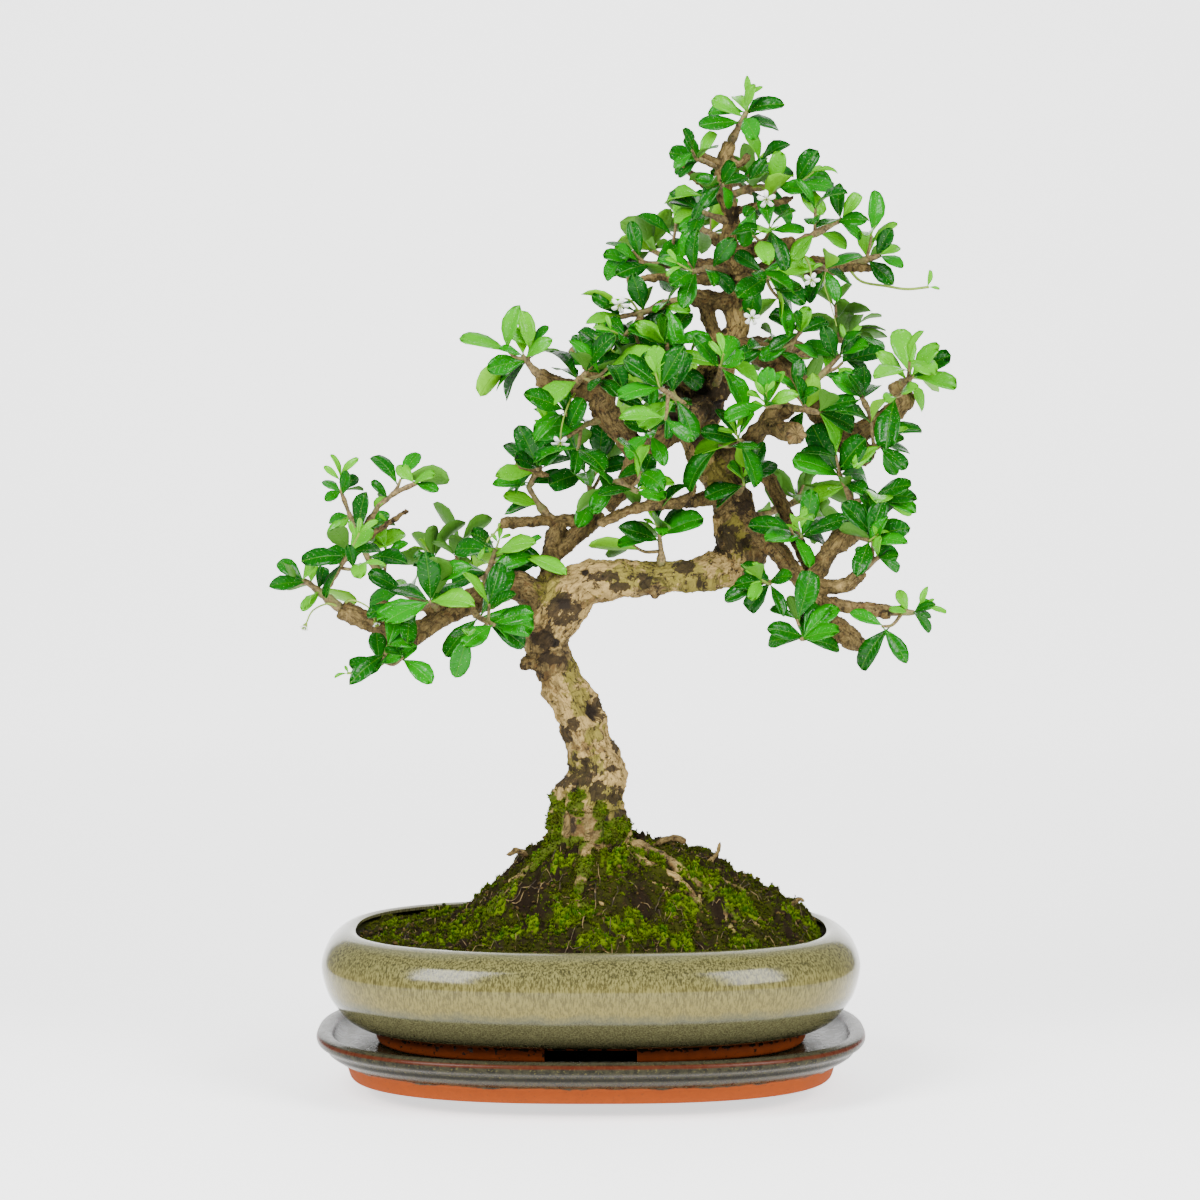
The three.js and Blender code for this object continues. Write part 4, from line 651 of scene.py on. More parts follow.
class Finish:
    """A material under way. Its pattern is in millimetres in the pot's own frame."""

    def __init__(self, name, **constants):
        self.material = bpy.data.materials.new(name)
        self.material.use_nodes = True
        self.tree = self.material.node_tree
        self.tree.nodes.clear()
        output = self.tree.nodes.new("ShaderNodeOutputMaterial")
        self.shader = self.tree.nodes.new("ShaderNodeBsdfPrincipled")
        self.tree.links.new(self.shader.outputs[0], output.inputs[0])
        for socket, value in constants.items():
            self.shader.inputs[socket.replace("_", " ")].default_value = value

    def feed(self, socket, value):
        """Gives a socket a link or a value."""
        if isinstance(value, Wire):
            self.tree.links.new(value.socket, socket)
        elif socket.type == "RGBA":
            socket.default_value = (*value, 1)
        else:
            socket.default_value = value

    def node(self, kind, settings=None, sockets=None, out=0):
        """Adds any node: its settings first, then what its sockets take."""
        node = self.tree.nodes.new(kind)
        for key, value in (settings or {}).items():
            setattr(node, key, value)
        for key, value in (sockets or {}).items():
            self.feed(node.inputs[key], value)
        return Wire(self, node.outputs[out])

    def place(self):
        """The point on the surface, in millimetres."""
        coordinates = self.node("ShaderNodeTexCoord", out="Object")
        return self.node("ShaderNodeMapping", None, {
            "Vector": coordinates,
            "Location": (-CENTRE_X / MM, 0, 0),
            "Scale": (1 / MM, 1 / MM, 1 / MM),
        })

    def attribute(self, name, out="Color"):
        """An attribute of the mesh."""
        return self.node("ShaderNodeAttribute", {"attribute_name": name}, None, out)

    def bump(self, height, distance, strength=1.0):
        """Relief of a height from 0 to 1 over a distance in millimetres."""
        normal = self.node("ShaderNodeBump", None, {
            "Height": height, "Distance": distance * MM, "Strength": strength,
        })
        self.feed(self.shader.inputs["Normal"], normal)

    def set(self, **values):
        """Feeds the shader's own sockets."""
        for socket, value in values.items():
            self.feed(self.shader.inputs[socket.replace("_", " ")], value)
        return self.material


def parts(vector):
    """The three numbers of a vector or colour."""
    split = vector.finish.tree.nodes.new("ShaderNodeSeparateXYZ")
    vector.finish.feed(split.inputs[0], vector)
    return [Wire(vector.finish, socket) for socket in split.outputs]


def scaled(vector, scale):
    """A vector with each of its numbers scaled."""
    return vector.finish.node("ShaderNodeVectorMath", {"operation": "MULTIPLY"}, {0: vector, 1: scale})


def clouds(vector, size, detail=3, roughness=0.55):
    """Cloudy noise with blots about size millimetres wide."""
    return vector.finish.node("ShaderNodeTexNoise", None, {
        "Vector": vector, "Scale": 1 / size, "Detail": detail, "Roughness": roughness,
    })


def cells(vector, size, feature="F1"):
    """Cell noise with cells about size millimetres wide."""
    sockets = {"Vector": vector, "Scale": 1 / size}
    return vector.finish.node("ShaderNodeTexVoronoi", {"feature": feature}, sockets)


def step(value, low, high):
    """0 where the value is below low, 1 above high, and soft between. low may be the larger one."""
    return value.finish.node("ShaderNodeMapRange", {"interpolation_type": "SMOOTHSTEP"}, {
        "Value": value, "From Min": low, "From Max": high,
    })


def blend(mask, first, second):
    """The first colour where the mask is 0 and the second where it is 1."""
    return mask.finish.node("ShaderNodeMix", {"data_type": "RGBA"}, {0: mask, 6: first, 7: second}, 2)


def shades(mask, colour, low, high):
    """From a darker to a brighter shade of one colour."""
    return blend(mask, shade(colour, low), shade(colour, high))


def plain_finish(name, size, low, high, relief, edges=None, **constants):
    """A material of two colours, mixed by grain about size millimetres wide."""
    finish = Finish(name, **constants)
    grain = clouds(finish.place(), size)
    finish.bump(grain, *relief)
    return finish.set(Base_Color=blend(step(grain, *edges) if edges else grain, low, high))


# Meshes

def finished_mesh(bm, name):
    """A mesh in the frame's metres from a bmesh in millimetres."""
    bmesh.ops.transform(bm, matrix=Matrix.Translation((CENTRE_X, 0, 0)) @ Matrix.Scale(MM, 4), verts=bm.verts)
    mesh = bpy.data.meshes.new(name)
    bm.to_mesh(mesh)
    bm.free()
    return mesh


def add_object(name, data):
    """Adds an object to the scene."""
    made = bpy.data.objects.new(name, data)
    bpy.context.scene.collection.objects.link(made)
    return made


def add_piece(name, mesh, materials, nodes=()):
    """Adds a piece of the tree, which stands for some of the frame's nodes."""
    piece = add_object(name, mesh)
    for material in materials:
        mesh.materials.append(material)
    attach(piece, "root")
    if nodes:
        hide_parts(*nodes)


def soften(mesh, sharp_angle=None):
    """Smooth shading, with the edges past an angle kept sharp."""
    mesh.polygons.foreach_set("use_smooth", [True] * len(mesh.polygons))
    if sharp_angle is not None:
        mesh.set_sharp_from_angle(angle=math.radians(sharp_angle))


def evaluated(data, prepare=None):
    """The mesh that a curve or a mesh comes to, after what prepare adds to its object."""
    holder = add_object("holder", data)
    if prepare:
        prepare(holder)
    bpy.context.view_layer.update()
    made = bpy.data.meshes.new_from_object(holder.evaluated_get(bpy.context.evaluated_depsgraph_get()))
    bpy.data.objects.remove(holder)
    return made


def add_form(name, bm, material, nodes=(), smooth_shading=True):
    """Adds a piece from a bmesh in millimetres."""
    mesh = finished_mesh(bm, name)
    if smooth_shading:
        soften(mesh)
    add_piece(name, mesh, [material], nodes)


def with_modifier(mesh, kind, **settings):
    """A mesh after one modifier."""
    def add_modifier(holder):
        modifier = holder.modifiers.new(kind, kind)
        for key, value in settings.items():
            setattr(modifier, key, value)
    return evaluated(mesh, add_modifier)


def rods(lines, sides):
    """A mesh of closed round rods, each a list of points with radii, in millimetres."""
    curve = bpy.data.curves.new("rods", "CURVE")
    curve.dimensions = "3D"
    curve.bevel_depth = 1
    curve.bevel_resolution = max((sides - 4) // 2, 0)
    curve.use_fill_caps = True
    for line in lines:
        spline = curve.splines.new("POLY")
        spline.points.add(len(line) - 1)
        for point, (place, radius) in zip(spline.points, line):
            point.co = (*place, 1)
            point.radius = radius
    made = evaluated(curve)
    bpy.data.curves.remove(curve)
    return made


def rod_form(lines, sides):
    """Rods as a bmesh."""
    bm = bmesh.new()
    bm.from_mesh(rods(lines, sides))
    return bm


def stretch_of(route, spacing):
    """A route as a list of points with radii."""
    count = max(2, math.ceil(route.length / spacing))
    return [(route.at(i / count), route.radius(i / count)) for i in range(count + 1)]


def rounded(rows, per_span):
    """The points of a smooth line through a run of a profile."""
    route = Route([(r, 0, z) for r, z in rows])
    count = per_span * (len(rows) - 1)
    return [route.at(i / count) for i in range(count + 1)]


def turned_oval(profile, steps):
    """A closed oval form, spun from a profile that starts and ends on the axis."""
    bm = bmesh.new()
    corners = [bm.verts.new(point) for point in profile]
    edges = [bm.edges.new(pair) for pair in zip(corners, corners[1:])]
    bmesh.ops.spin(
        bm, geom=corners + edges, cent=(0, 0, 0), axis=(0, 0, 1), dvec=(0, 0, 0), angle=math.tau, steps=steps,
        use_merge=True, use_duplicate=False,
    )
    bmesh.ops.remove_doubles(bm, verts=bm.verts, dist=0.0005)
    for vert in bm.verts:
        vert.co = to_oval(vert.co)
    bmesh.ops.recalc_face_normals(bm, faces=bm.faces)
    return bm


# Ceramics

POT_PROFILE = (
    [Vector((0, 0, 34))]
    + rounded([(115, 34), (128, 39), (136, 47), (141.5, 56), (142.5, 64), (138, 75), (131.6, 79),
               (131.4, 80.6), (133.8, 81.5), (139, 80), (146, 74), (149.6, 66), (149.9, 59), (147, 48),
               (142.5, 40.5), (136.5, 33.5), (129, 29.2), (122, 27.5)], 4)
    + rounded([(121, 26.6), (120.4, 23), (119.4, 20.4), (118, 19.35)], 3)
    + rounded([(109, 19.35), (107.4, 20.2), (106.4, 23), (106, 27.5)], 3)
    + [Vector((0, 0, 27.5))]
)
SAUCER_PROFILE = (
    [Vector((0, 0, 19))]
    + rounded([(132, 19), (139, 19.5), (142.6, 21.6), (144.6, 24.4), (147, 25.5), (150.5, 25.4), (152.8, 24),
               (153.1, 21.6), (151.8, 19.4), (148.6, 17.4)], 4)
    + rounded([(147.8, 16.2), (146.6, 14.4), (142, 11.2), (137.2, 8.8)], 4)
    + rounded([(136.6, 7.4), (135.4, 3), (134.4, 0.6), (133, 0)], 3)
    + rounded([(126.4, 0), (125, 0.8), (124.6, 3), (124.5, 12)], 3)
    + [Vector((0, 0, 12))]
)
FOOT_GAPS = ((50, 400, 8.4), (400, 30, 8.4))
DRAIN_OFFSET = 62
DRAIN_RADIUS = 10
FOOT_INSIDE = 107


def oval_mask(x, y, half_length):
    """Whether a place is inside an oval of the pot's family, seen from above."""
    return step(oval_reach(x, y, half_length, half_length - SIDE_DIFFERENCE), 1.05, 0.98)


def make_pot_finish(settings):
    """Streaky olive glaze over a pale belly, a darker foot and bare clay below, with a painted reflection at
    the rim and painted shade inside the foot ring.
    """
    finish = Finish("oval_pot_glaze", IOR=1.46, Specular_IOR_Level=0.3)
    place = finish.place()
    x, y, z = parts(place)
    drift = clouds(scaled(place, (1, 1, 0.5)), 26, 3) - 0.5
    streaks = clouds(scaled(place, (1, 1, 0.2)), 1, 4, 0.72)
    mottle = clouds(place, 5.5, 4, 0.6)
    fine = clouds(place, 0.8, 3, 0.7)
    specks = cells(place, 2.1)
    level = z + drift * 7 + (streaks - 0.5) * 3
    drip = z + drift * 11 + (clouds(scaled(place, (1, 1, 0.1)), 13, 2) - 0.5) * 6
    thread = step(streaks, 0.41, 0.59)
    shoulder = shades(thread, settings.upper_glaze, 0.36, 1.65)
    belly = shades(thread, settings.belly_glaze, 0.66, 1.16)
    lower = shades(step(fine, 0.36, 0.64), settings.lower_glaze, 0.5, 1.45)
    colour = blend(step(level, 50, 74), belly, shoulder)
    # Painted reflection: a greyish band at the rim stands in for the pale room mirrored in the glaze there.
    rim = step(z + drift * 3, 77, 80.5)
    colour = blend(rim * 0.35, colour, tint(104, 104, 84))
    colour = blend(step(drip, 47.5, 45.5), colour, lower)
    edge = step(drip, 44.6, 46.6) * step(drip, 51.5, 47.4)
    colour = blend(edge * 0.45, colour, tint(70, 74, 60))
    spots = step(specks, 0.2, 0.08) * step(mottle, 0.46, 0.6)
    colour = blend(spots * 0.5, colour, tint(34, 28, 14))
    bare = step(z + drift * 1.5, 28.6, 27.4)
    foot_glaze = step(clouds(place, 3.6, 4, 0.6) + step(z, 24.4, 27) * 0.16, 0.61, 0.67)
    clay = shades(mottle, settings.clay, 0.6, 1.1)
    clay = blend(foot_glaze, clay, tint(38, 30, 22))
    colour = blend(bare, colour, clay)
    # Painted shade: the underside inside the foot ring is made near black, where the pot's own shadow falls.
    inside = oval_mask(x, y, FOOT_INSIDE) * step(z, 28.6, 27.9)
    colour = blend(inside, colour, tint(3, 2, 1))
    dry = bare * (1 - foot_glaze)
    finish.bump(mottle * 0.5 + streaks * 0.3 + spots * 0.2, 0.28, 0.35)
    return finish.set(Base_Color=colour, Roughness=0.08 + mottle * 0.11 + dry * 0.5)


def make_saucer_finish(settings):
    """Dark speckled glaze with a worn red-brown rim line, and bare orange clay below, with a painted
    reflection on the rim's top, painted shade in the groove under the rim and a painted shadow under the pot.
    """
    finish = Finish("saucer_glaze", IOR=1.46, Specular_IOR_Level=0.12)
    place = finish.place()
    x, y, z = parts(place)
    mottle = clouds(place, 4.2, 4, 0.62)
    drift = clouds(scaled(place, (1, 1, 0.3)), 17, 3) - 0.5
    fine = clouds(place, 1.3, 2)
    glaze = shades(step(mottle, 0.36, 0.64), settings.saucer_glaze, 0.42, 1.25)
    glaze = blend(step(fine, 0.58, 0.7) * 0.6, glaze, tint(84, 78, 42))
    # Painted reflection: the flat top of the rim is made paler and greyer, standing in for the room mirrored
    # in the glaze.
    top = step(z, 24.4, 25.3)
    glaze = blend(top * 0.4, glaze, tint(60, 58, 46))
    lip = step(z + drift * 1.2, 22.2, 23.2) * step(z, 24.9, 24.2)
    glaze = blend(lip * 0.75, glaze, tint(70, 26, 12))
    # Painted shade: the groove under the overhanging rim is darkened almost to black.
    painted_groove_shade = step(z, 14.2, 15.1) * step(z, 17, 15.9)
    glaze = blend(painted_groove_shade * 0.7, glaze, tint(14, 12, 8))
    bare = step(z + drift * 5 + (fine - 0.5) * 1.2, 9.2, 8.2)
    clay = blend(mottle, shade(settings.clay, 0.72), settings.clay)
    clay = blend(step(fine, 0.62, 0.7) * 0.6, clay, tint(96, 52, 30))
    # Painted shadow: the saucer's floor under the pot is made near black and rougher, where the pot's shadow
    # falls.
    painted_shadow_under_pot = oval_mask(x, y, FOOT_INSIDE + 6) * step(z, 18.4, 18.7)
    colour = blend(painted_shadow_under_pot, blend(bare, glaze, clay), tint(3, 2, 1))
    finish.bump(mottle * 0.5 + fine * 0.3, 0.3, 0.35)
    return finish.set(Base_Color=colour, Roughness=0.17 + mottle * 0.22 + (bare + painted_shadow_under_pot) * 0.5)


def cut_away(mesh, cutters):
    """A mesh with closed shapes cut out of it."""
    tool = add_object("cutters", finished_mesh(cutters, "cutters"))
    made = with_modifier(mesh, "BOOLEAN", operation="DIFFERENCE", solver="EXACT", object=tool)
    bpy.data.objects.remove(tool)
    return made


class BONSAI_OT_saucer(Operator):
    """Add the oval saucer"""
    bl_idname = "bonsai.saucer"
    bl_label = "Saucer"

    def execute(self, context):
        settings = context.scene.bonsai_ceramics
        mesh = finished_mesh(turned_oval(SAUCER_PROFILE, settings.steps), "saucer_body")
        soften(mesh, 50)
        add_piece("saucer_body", mesh, [make_saucer_finish(settings)], ["saucer"])
        return {"FINISHED"}


class BONSAI_OT_pot(Operator):
    """Add the oval pot with its cut foot and drain holes"""
    bl_idname = "bonsai.pot"
    bl_label = "Pot"

    def execute(self, context):
        settings = context.scene.bonsai_ceramics
        mesh = finished_mesh(turned_oval(POT_PROFILE, settings.steps), "pot_body")
        cutters = bmesh.new()
        for width, depth, top in FOOT_GAPS:
            gap = bmesh.ops.create_cube(cutters, size=1)["verts"]
            bmesh.ops.scale(cutters, vec=(width, depth, 2 * top), verts=gap)
            bmesh.ops.translate(cutters, vec=(0, 0, 18.1), verts=gap)
        for side in (-1, 1):
            drain = bmesh.ops.create_cone(
                cutters, cap_ends=True, segments=32, radius1=DRAIN_RADIUS, radius2=DRAIN_RADIUS, depth=30)
            bmesh.ops.translate(cutters, vec=(side * DRAIN_OFFSET, 0, 34), verts=drain["verts"])
        mesh = cut_away(mesh, cutters)
        soften(mesh, 50)
        add_piece("pot_body", mesh, [make_pot_finish(settings)], ["pot"])
        return {"FINISHED"}


class BONSAI_OT_screens(Operator):
    """Give the drain screens their plastic"""
    bl_idname = "bonsai.screens"
    bl_label = "Drain screens"

    def execute(self, context):
        finish = Finish("screen_plastic", Roughness=0.6)
        grain = clouds(finish.place(), 0.8, 3)
        finish.bump(grain, 0.05, 0.5)
        material = finish.set(
            Base_Color=blend(grain, tint(24, 25, 24), tint(40, 42, 40)), Roughness=0.5 + grain * 0.2)
        for name in ("drain_screen_left", "drain_screen_right"):
            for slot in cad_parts[name].material_slots:
                slot.material = material
        return {"FINISHED"}


# Soil and moss

SOIL_RINGS = 112
SOIL_STEPS = 400
SOIL_REACH = 137
LIP_HALF_LENGTH = 130.5
LIP_HALF_DEPTH = 90.5
UNDER_LIP = 76
GROUND_HALF_LENGTH = 129
GROUND_HALF_DEPTH = 90
CRUMBS = 2200
FINE_ROOTS = 330
FINE_ROOT_HALF_LENGTH = 122
FINE_ROOT_HALF_DEPTH = 84
FINE_ROOT_STEP = 2.2
SOIL_WALL = [(137.4, 74.6), (141.6, 64), (140.6, 56), (135.2, 47.3), (127, 39.2), (114.8, 34.3), (0, 34.3)]


def ground_noise(x, y, seed, size):
    """Noise over the ground with blots about size millimetres wide."""
    return noise.noise(Vector((x, y, seed)) / size)


def moss_share(x, y):
    """How thick the moss is at a place on the soil, from 0 to 1."""
    most = 0
    edge = 0.9 * ground_noise(x, y, 40, 6) + 0.8 * ground_noise(x, y, 9, 2)
    for across, depth, half_width, half_depth, bright in MOSS_CUSHIONS:
        reach = math.hypot((x - across) / half_width, (y - depth) / half_depth)
        if reach < 2.2:
            most = max(most, bright * smooth(1.15 + edge - reach, 0, 1.2))
    return most


def moss_film(x, y):
    """How much thin moss film covers the soil between the cushions."""
    return smooth(ground_noise(x, y, 21, 14) + 0.6 * ground_noise(x, y, 3, 4), -0.5, 0.2)


def soil_lumps(x, y, lump):
    """Height of the soil's lumps over the smooth mound."""
    return lump * (
        ground_noise(x, y, 4, 12) + 0.8 * ground_noise(x, y, 7, 5)
        + 0.7 * ground_noise(x, y, 2, 2.4))


def soil_surface(x, y, settings):
    """The height of the dressed soil at a place, which sinks under the pot's lip, and its moss."""
    height = mound_height(x, y) + soil_lumps(x, y, settings.lump / MM)
    moss = moss_share(x, y)
    height += moss * settings.moss_rise / MM * (1 + 0.35 * ground_noise(x, y, 1, 3))
    edge = oval_reach(x, y, LIP_HALF_LENGTH, LIP_HALF_DEPTH)
    return height + (UNDER_LIP - height) * smooth(edge, 0.84, 1), moss


def make_soil_finish(settings):
    """Dark moist soil with a thin green film, and bright moss on its cushions."""
    finish = Finish("bonsai_soil", Roughness=0.95, Specular_IOR_Level=0.08)
    place = finish.place()
    moss = finish.attribute("moss", "Fac")
    clumps = clouds(place, 9, 4)
    grain = clouds(place, 1.1, 4, 0.65)
    fibre = clouds(scaled(place, (0.35, 1.4, 1)), 1.4, 3)
    colour = shades(grain, settings.earth, 0.45, 1.9)
    film = finish.attribute("film", "Fac") * step(clumps, 0.3, 0.55) * 0.75
    colour = blend(film, colour, blend(grain, tint(14, 15, 2), tint(62, 68, 7)))
    colour = blend(step(fibre, 0.64, 0.72) * 0.5, colour, tint(70, 48, 22))
    cushion = shades(grain, settings.moss, 0.4, 1.25)
    colour = blend(step(moss, 0.12, 0.5), colour, cushion)
    finish.bump(grain * 0.7 + fibre * 0.3, 0.9, 0.9)
    return finish.set(Base_Color=colour)


class BONSAI_OT_soil(Operator):
    """Add the mound of soil with its moss cushions"""
    bl_idname = "bonsai.soil"
    bl_label = "Soil"

    def execute(self, context):
        settings = context.scene.bonsai_soil
        top = [Vector((SOIL_REACH * (i / SOIL_RINGS) ** 0.9, 0, 200)) for i in range(SOIL_RINGS + 1)]
        bm = turned_oval(top + [Vector((r, 0, z)) for r, z in SOIL_WALL], SOIL_STEPS)
        moss_layer = bm.verts.layers.float.new("moss")
        film_layer = bm.verts.layers.float.new("film")
        for vert in bm.verts:
            if vert.co.z > 190:
                vert[film_layer] = moss_film(vert.co.x, vert.co.y)
                vert.co.z, vert[moss_layer] = soil_surface(vert.co.x, vert.co.y, settings)
        add_form("soil_mound", bm, make_soil_finish(settings), ["soil"])
        return {"FINISHED"}


def on_soil(x, y):
    """Whether a place lies inside the pot's rim."""
    return oval_reach(x, y, GROUND_HALF_LENGTH, GROUND_HALF_DEPTH) < 1


def make_moss_finish(settings):
    """Soft moss, darker at its foot and where it is a thin film."""
    finish = Finish("moss_sprigs", Roughness=0.9, Specular_IOR_Level=0.1)
    height = finish.attribute("tip", "Fac")
    bright = finish.attribute("bright", "Fac")
    patches = clouds(finish.place(), 6, 3)
    film = blend(height, tint(16, 15, 4), tint(70, 76, 8))
    colour = shades(height, settings.moss, 0.3, 1.7)
    colour = blend(step(patches, 0.42, 0.6) * 0.65, colour, tint(26, 92, 0))
    finish.bump(patches, 0.2, 0.3)
    return finish.set(Base_Color=blend(bright, film, colour))


def moss_layers(bm):
    """The attributes that moss sprigs carry."""
    return bm.verts.layers.float.new("tip"), bm.verts.layers.float.new("bright")


def add_sprig(bm, layers, foot, ahead, height, blades, bright):
    """One moss sprig: a few thin three-sided leaves from one foot."""
    ahead = ahead.normalized()
    first = ahead.orthogonal().normalized()
    second = ahead.cross(first)
    for i in range(blades):
        turn = math.tau * (i / blades + chance(foot.x, foot.y, i))
        tilt = 0.35 + 0.5 * chance(foot.y, foot.x, i)
        out = first * math.cos(turn) + second * math.sin(turn)
        side = (first * -math.sin(turn) + second * math.cos(turn)) * 0.28 * height
        tip = foot + (ahead + out * tilt) * height
        corners = [bm.verts.new(place) for place in (foot - side, foot + side, tip)]
        for corner in corners:
            corner[layers[1]] = bright
        corners[2][layers[0]] = 1
        bm.faces.new(corners)


class BONSAI_OT_moss(Operator):
    """Add moss sprigs, crumbs and fine roots on the soil"""
    bl_idname = "bonsai.moss"
    bl_label = "Moss"

    def execute(self, context):
        settings = context.scene.bonsai_soil
        dice = random.Random(11)
        self.add_sprigs(dice, settings)
        self.add_crumbs(dice, settings)
        self.add_fine_roots(dice, settings)
        return {"FINISHED"}

    def draw_place(self, dice):
        """A random place in the rectangle round the soil."""
        x = dice.uniform(-GROUND_HALF_LENGTH, GROUND_HALF_LENGTH)
        return x, dice.uniform(-GROUND_HALF_DEPTH, GROUND_HALF_DEPTH)

    def add_sprigs(self, dice, settings):
        """Adds moss sprigs, dense on the cushions and thin between them."""
        bm = bmesh.new()
        layers = moss_layers(bm)
        placed = 0
        while placed < settings.sprigs:
            x, y = self.draw_place(dice)
            if not on_soil(x, y):
                continue
            height, moss = soil_surface(x, y, settings)
            if dice.random() > 0.9 * moss + 0.7 * moss_film(x, y):
                continue
            foot = Vector((x, y, height - 0.3))
            glint = 0.9 * dice.random() ** 3 * smooth(ground_noise(x, y, 31, 9), -0.2, 0.3)
            add_sprig(bm, layers, foot, Vector((0, 0, 1)), dice.uniform(1, 2.4) * (0.75 + 0.5 * moss), 5,
                      min(moss * dice.uniform(0.4, 1.4) + glint, 1))
            placed += 1
        add_form("moss_sprigs", bm, make_moss_finish(settings), smooth_shading=False)

    def add_crumbs(self, dice, settings):
        """Adds crumbs of soil where there is little moss."""
        bm = bmesh.new()
        for _ in range(CRUMBS):
            x, y = self.draw_place(dice)
            if not on_soil(x, y):
                continue
            height, moss = soil_surface(x, y, settings)
            if moss > 0.4:
                continue
            size = 0.4 + 1.6 * dice.random() ** 2
            crumb = bmesh.ops.create_icosphere(bm, subdivisions=1, radius=size)["verts"]
            squash = Matrix.Diagonal((1, dice.uniform(0.6, 1), dice.uniform(0.5, 0.8), 1))
            turn = Matrix.Rotation(dice.uniform(0, math.tau), 4, "Z")
            place = Matrix.Translation((x, y, height + size * 0.2)) @ turn @ squash
            bmesh.ops.transform(bm, matrix=place, verts=crumb)
        material = plain_finish(
            "soil_crumb", 2.4, tint(16, 11, 5), tint(80, 64, 32), [0.3], (0.35, 0.7), Roughness=0.95,
            Specular_IOR_Level=0.1)
        add_form("soil_crumbs", bm, material)

    def add_fine_roots(self, dice, settings):
        """Adds fine roots that wander over the soil."""
        lines = []
        for _ in range(FINE_ROOTS):
            x = dice.uniform(-FINE_ROOT_HALF_LENGTH, FINE_ROOT_HALF_LENGTH)
            y = dice.uniform(-FINE_ROOT_HALF_DEPTH, FINE_ROOT_HALF_DEPTH)
            heading = dice.uniform(0, math.tau)
            line = []
            for _ in range(dice.randint(5, 11)):
                if not on_soil(x, y):
                    break
                height = soil_surface(x, y, settings)[0] + dice.uniform(-0.2, 1.1)
                line.append((Vector((x, y, height)), dice.uniform(0.14, 0.36)))
                heading += dice.uniform(-0.6, 0.6)
                x += FINE_ROOT_STEP * math.cos(heading)
                y += FINE_ROOT_STEP * math.sin(heading)
            if len(line) > 2:
                lines.append(line)
        material = plain_finish(
            "fine_root", 6, tint(36, 26, 12), tint(118, 98, 56), [0.1], (0.4, 0.65), Roughness=0.85)
        add_form("fine_roots", rod_form(lines, 4), material)


# Wood

class Timber:
    """The limbs as straight round stretches, to tell how far a point is from them."""

    def __init__(self):
        self.starts = []
        self.ends = []
        self.radii = []

    def add(self, route, radius_at, start, margin):
        """Adds a route from a share of its length on."""
        steps = max(2, math.ceil(route.length * (1 - start) / 6))
        for i in range(steps):
            a = start + (1 - start) * i / steps
            b = start + (1 - start) * (i + 1) / steps
            self.starts.append(route.at(a))
            self.ends.append(route.at(b))
            self.radii.append(max(radius_at(a), radius_at(b)) * (1 + margin))

    def gap(self, points):
        """The least distance from any of the points to the skin of a stretch."""
        starts = np.array(self.starts)[None]
        spans = np.array(self.ends)[None] - starts
        away = np.array(points)[:, None] - starts
        share = np.clip((away * spans).sum(2) / (spans ** 2).sum(2), 0, 1)
        apart = np.linalg.norm(away - share[..., None] * spans, axis=2) - np.array(self.radii)[None]
        return apart.min()


def wood_routes():
    """Every limb, stub and root as a route, the trunk first."""
    limbs = [limb_route(rows) for rows in [TRUNK, *LIMBS, *STUBS]]
    return limbs + [root_route(rows) for rows in [*ROOTS, *SOIL_ROOTS]]


BARK_LAYERS = ("scar", "painted_hollow_shade", "limb", "root", "moss", "crust", "rust", "lichen")
AXIS_STEP = 1.5
NEAREST_AXES = 6
SCAR_REACH = 2.2
GRAIN_SHIFT = 137


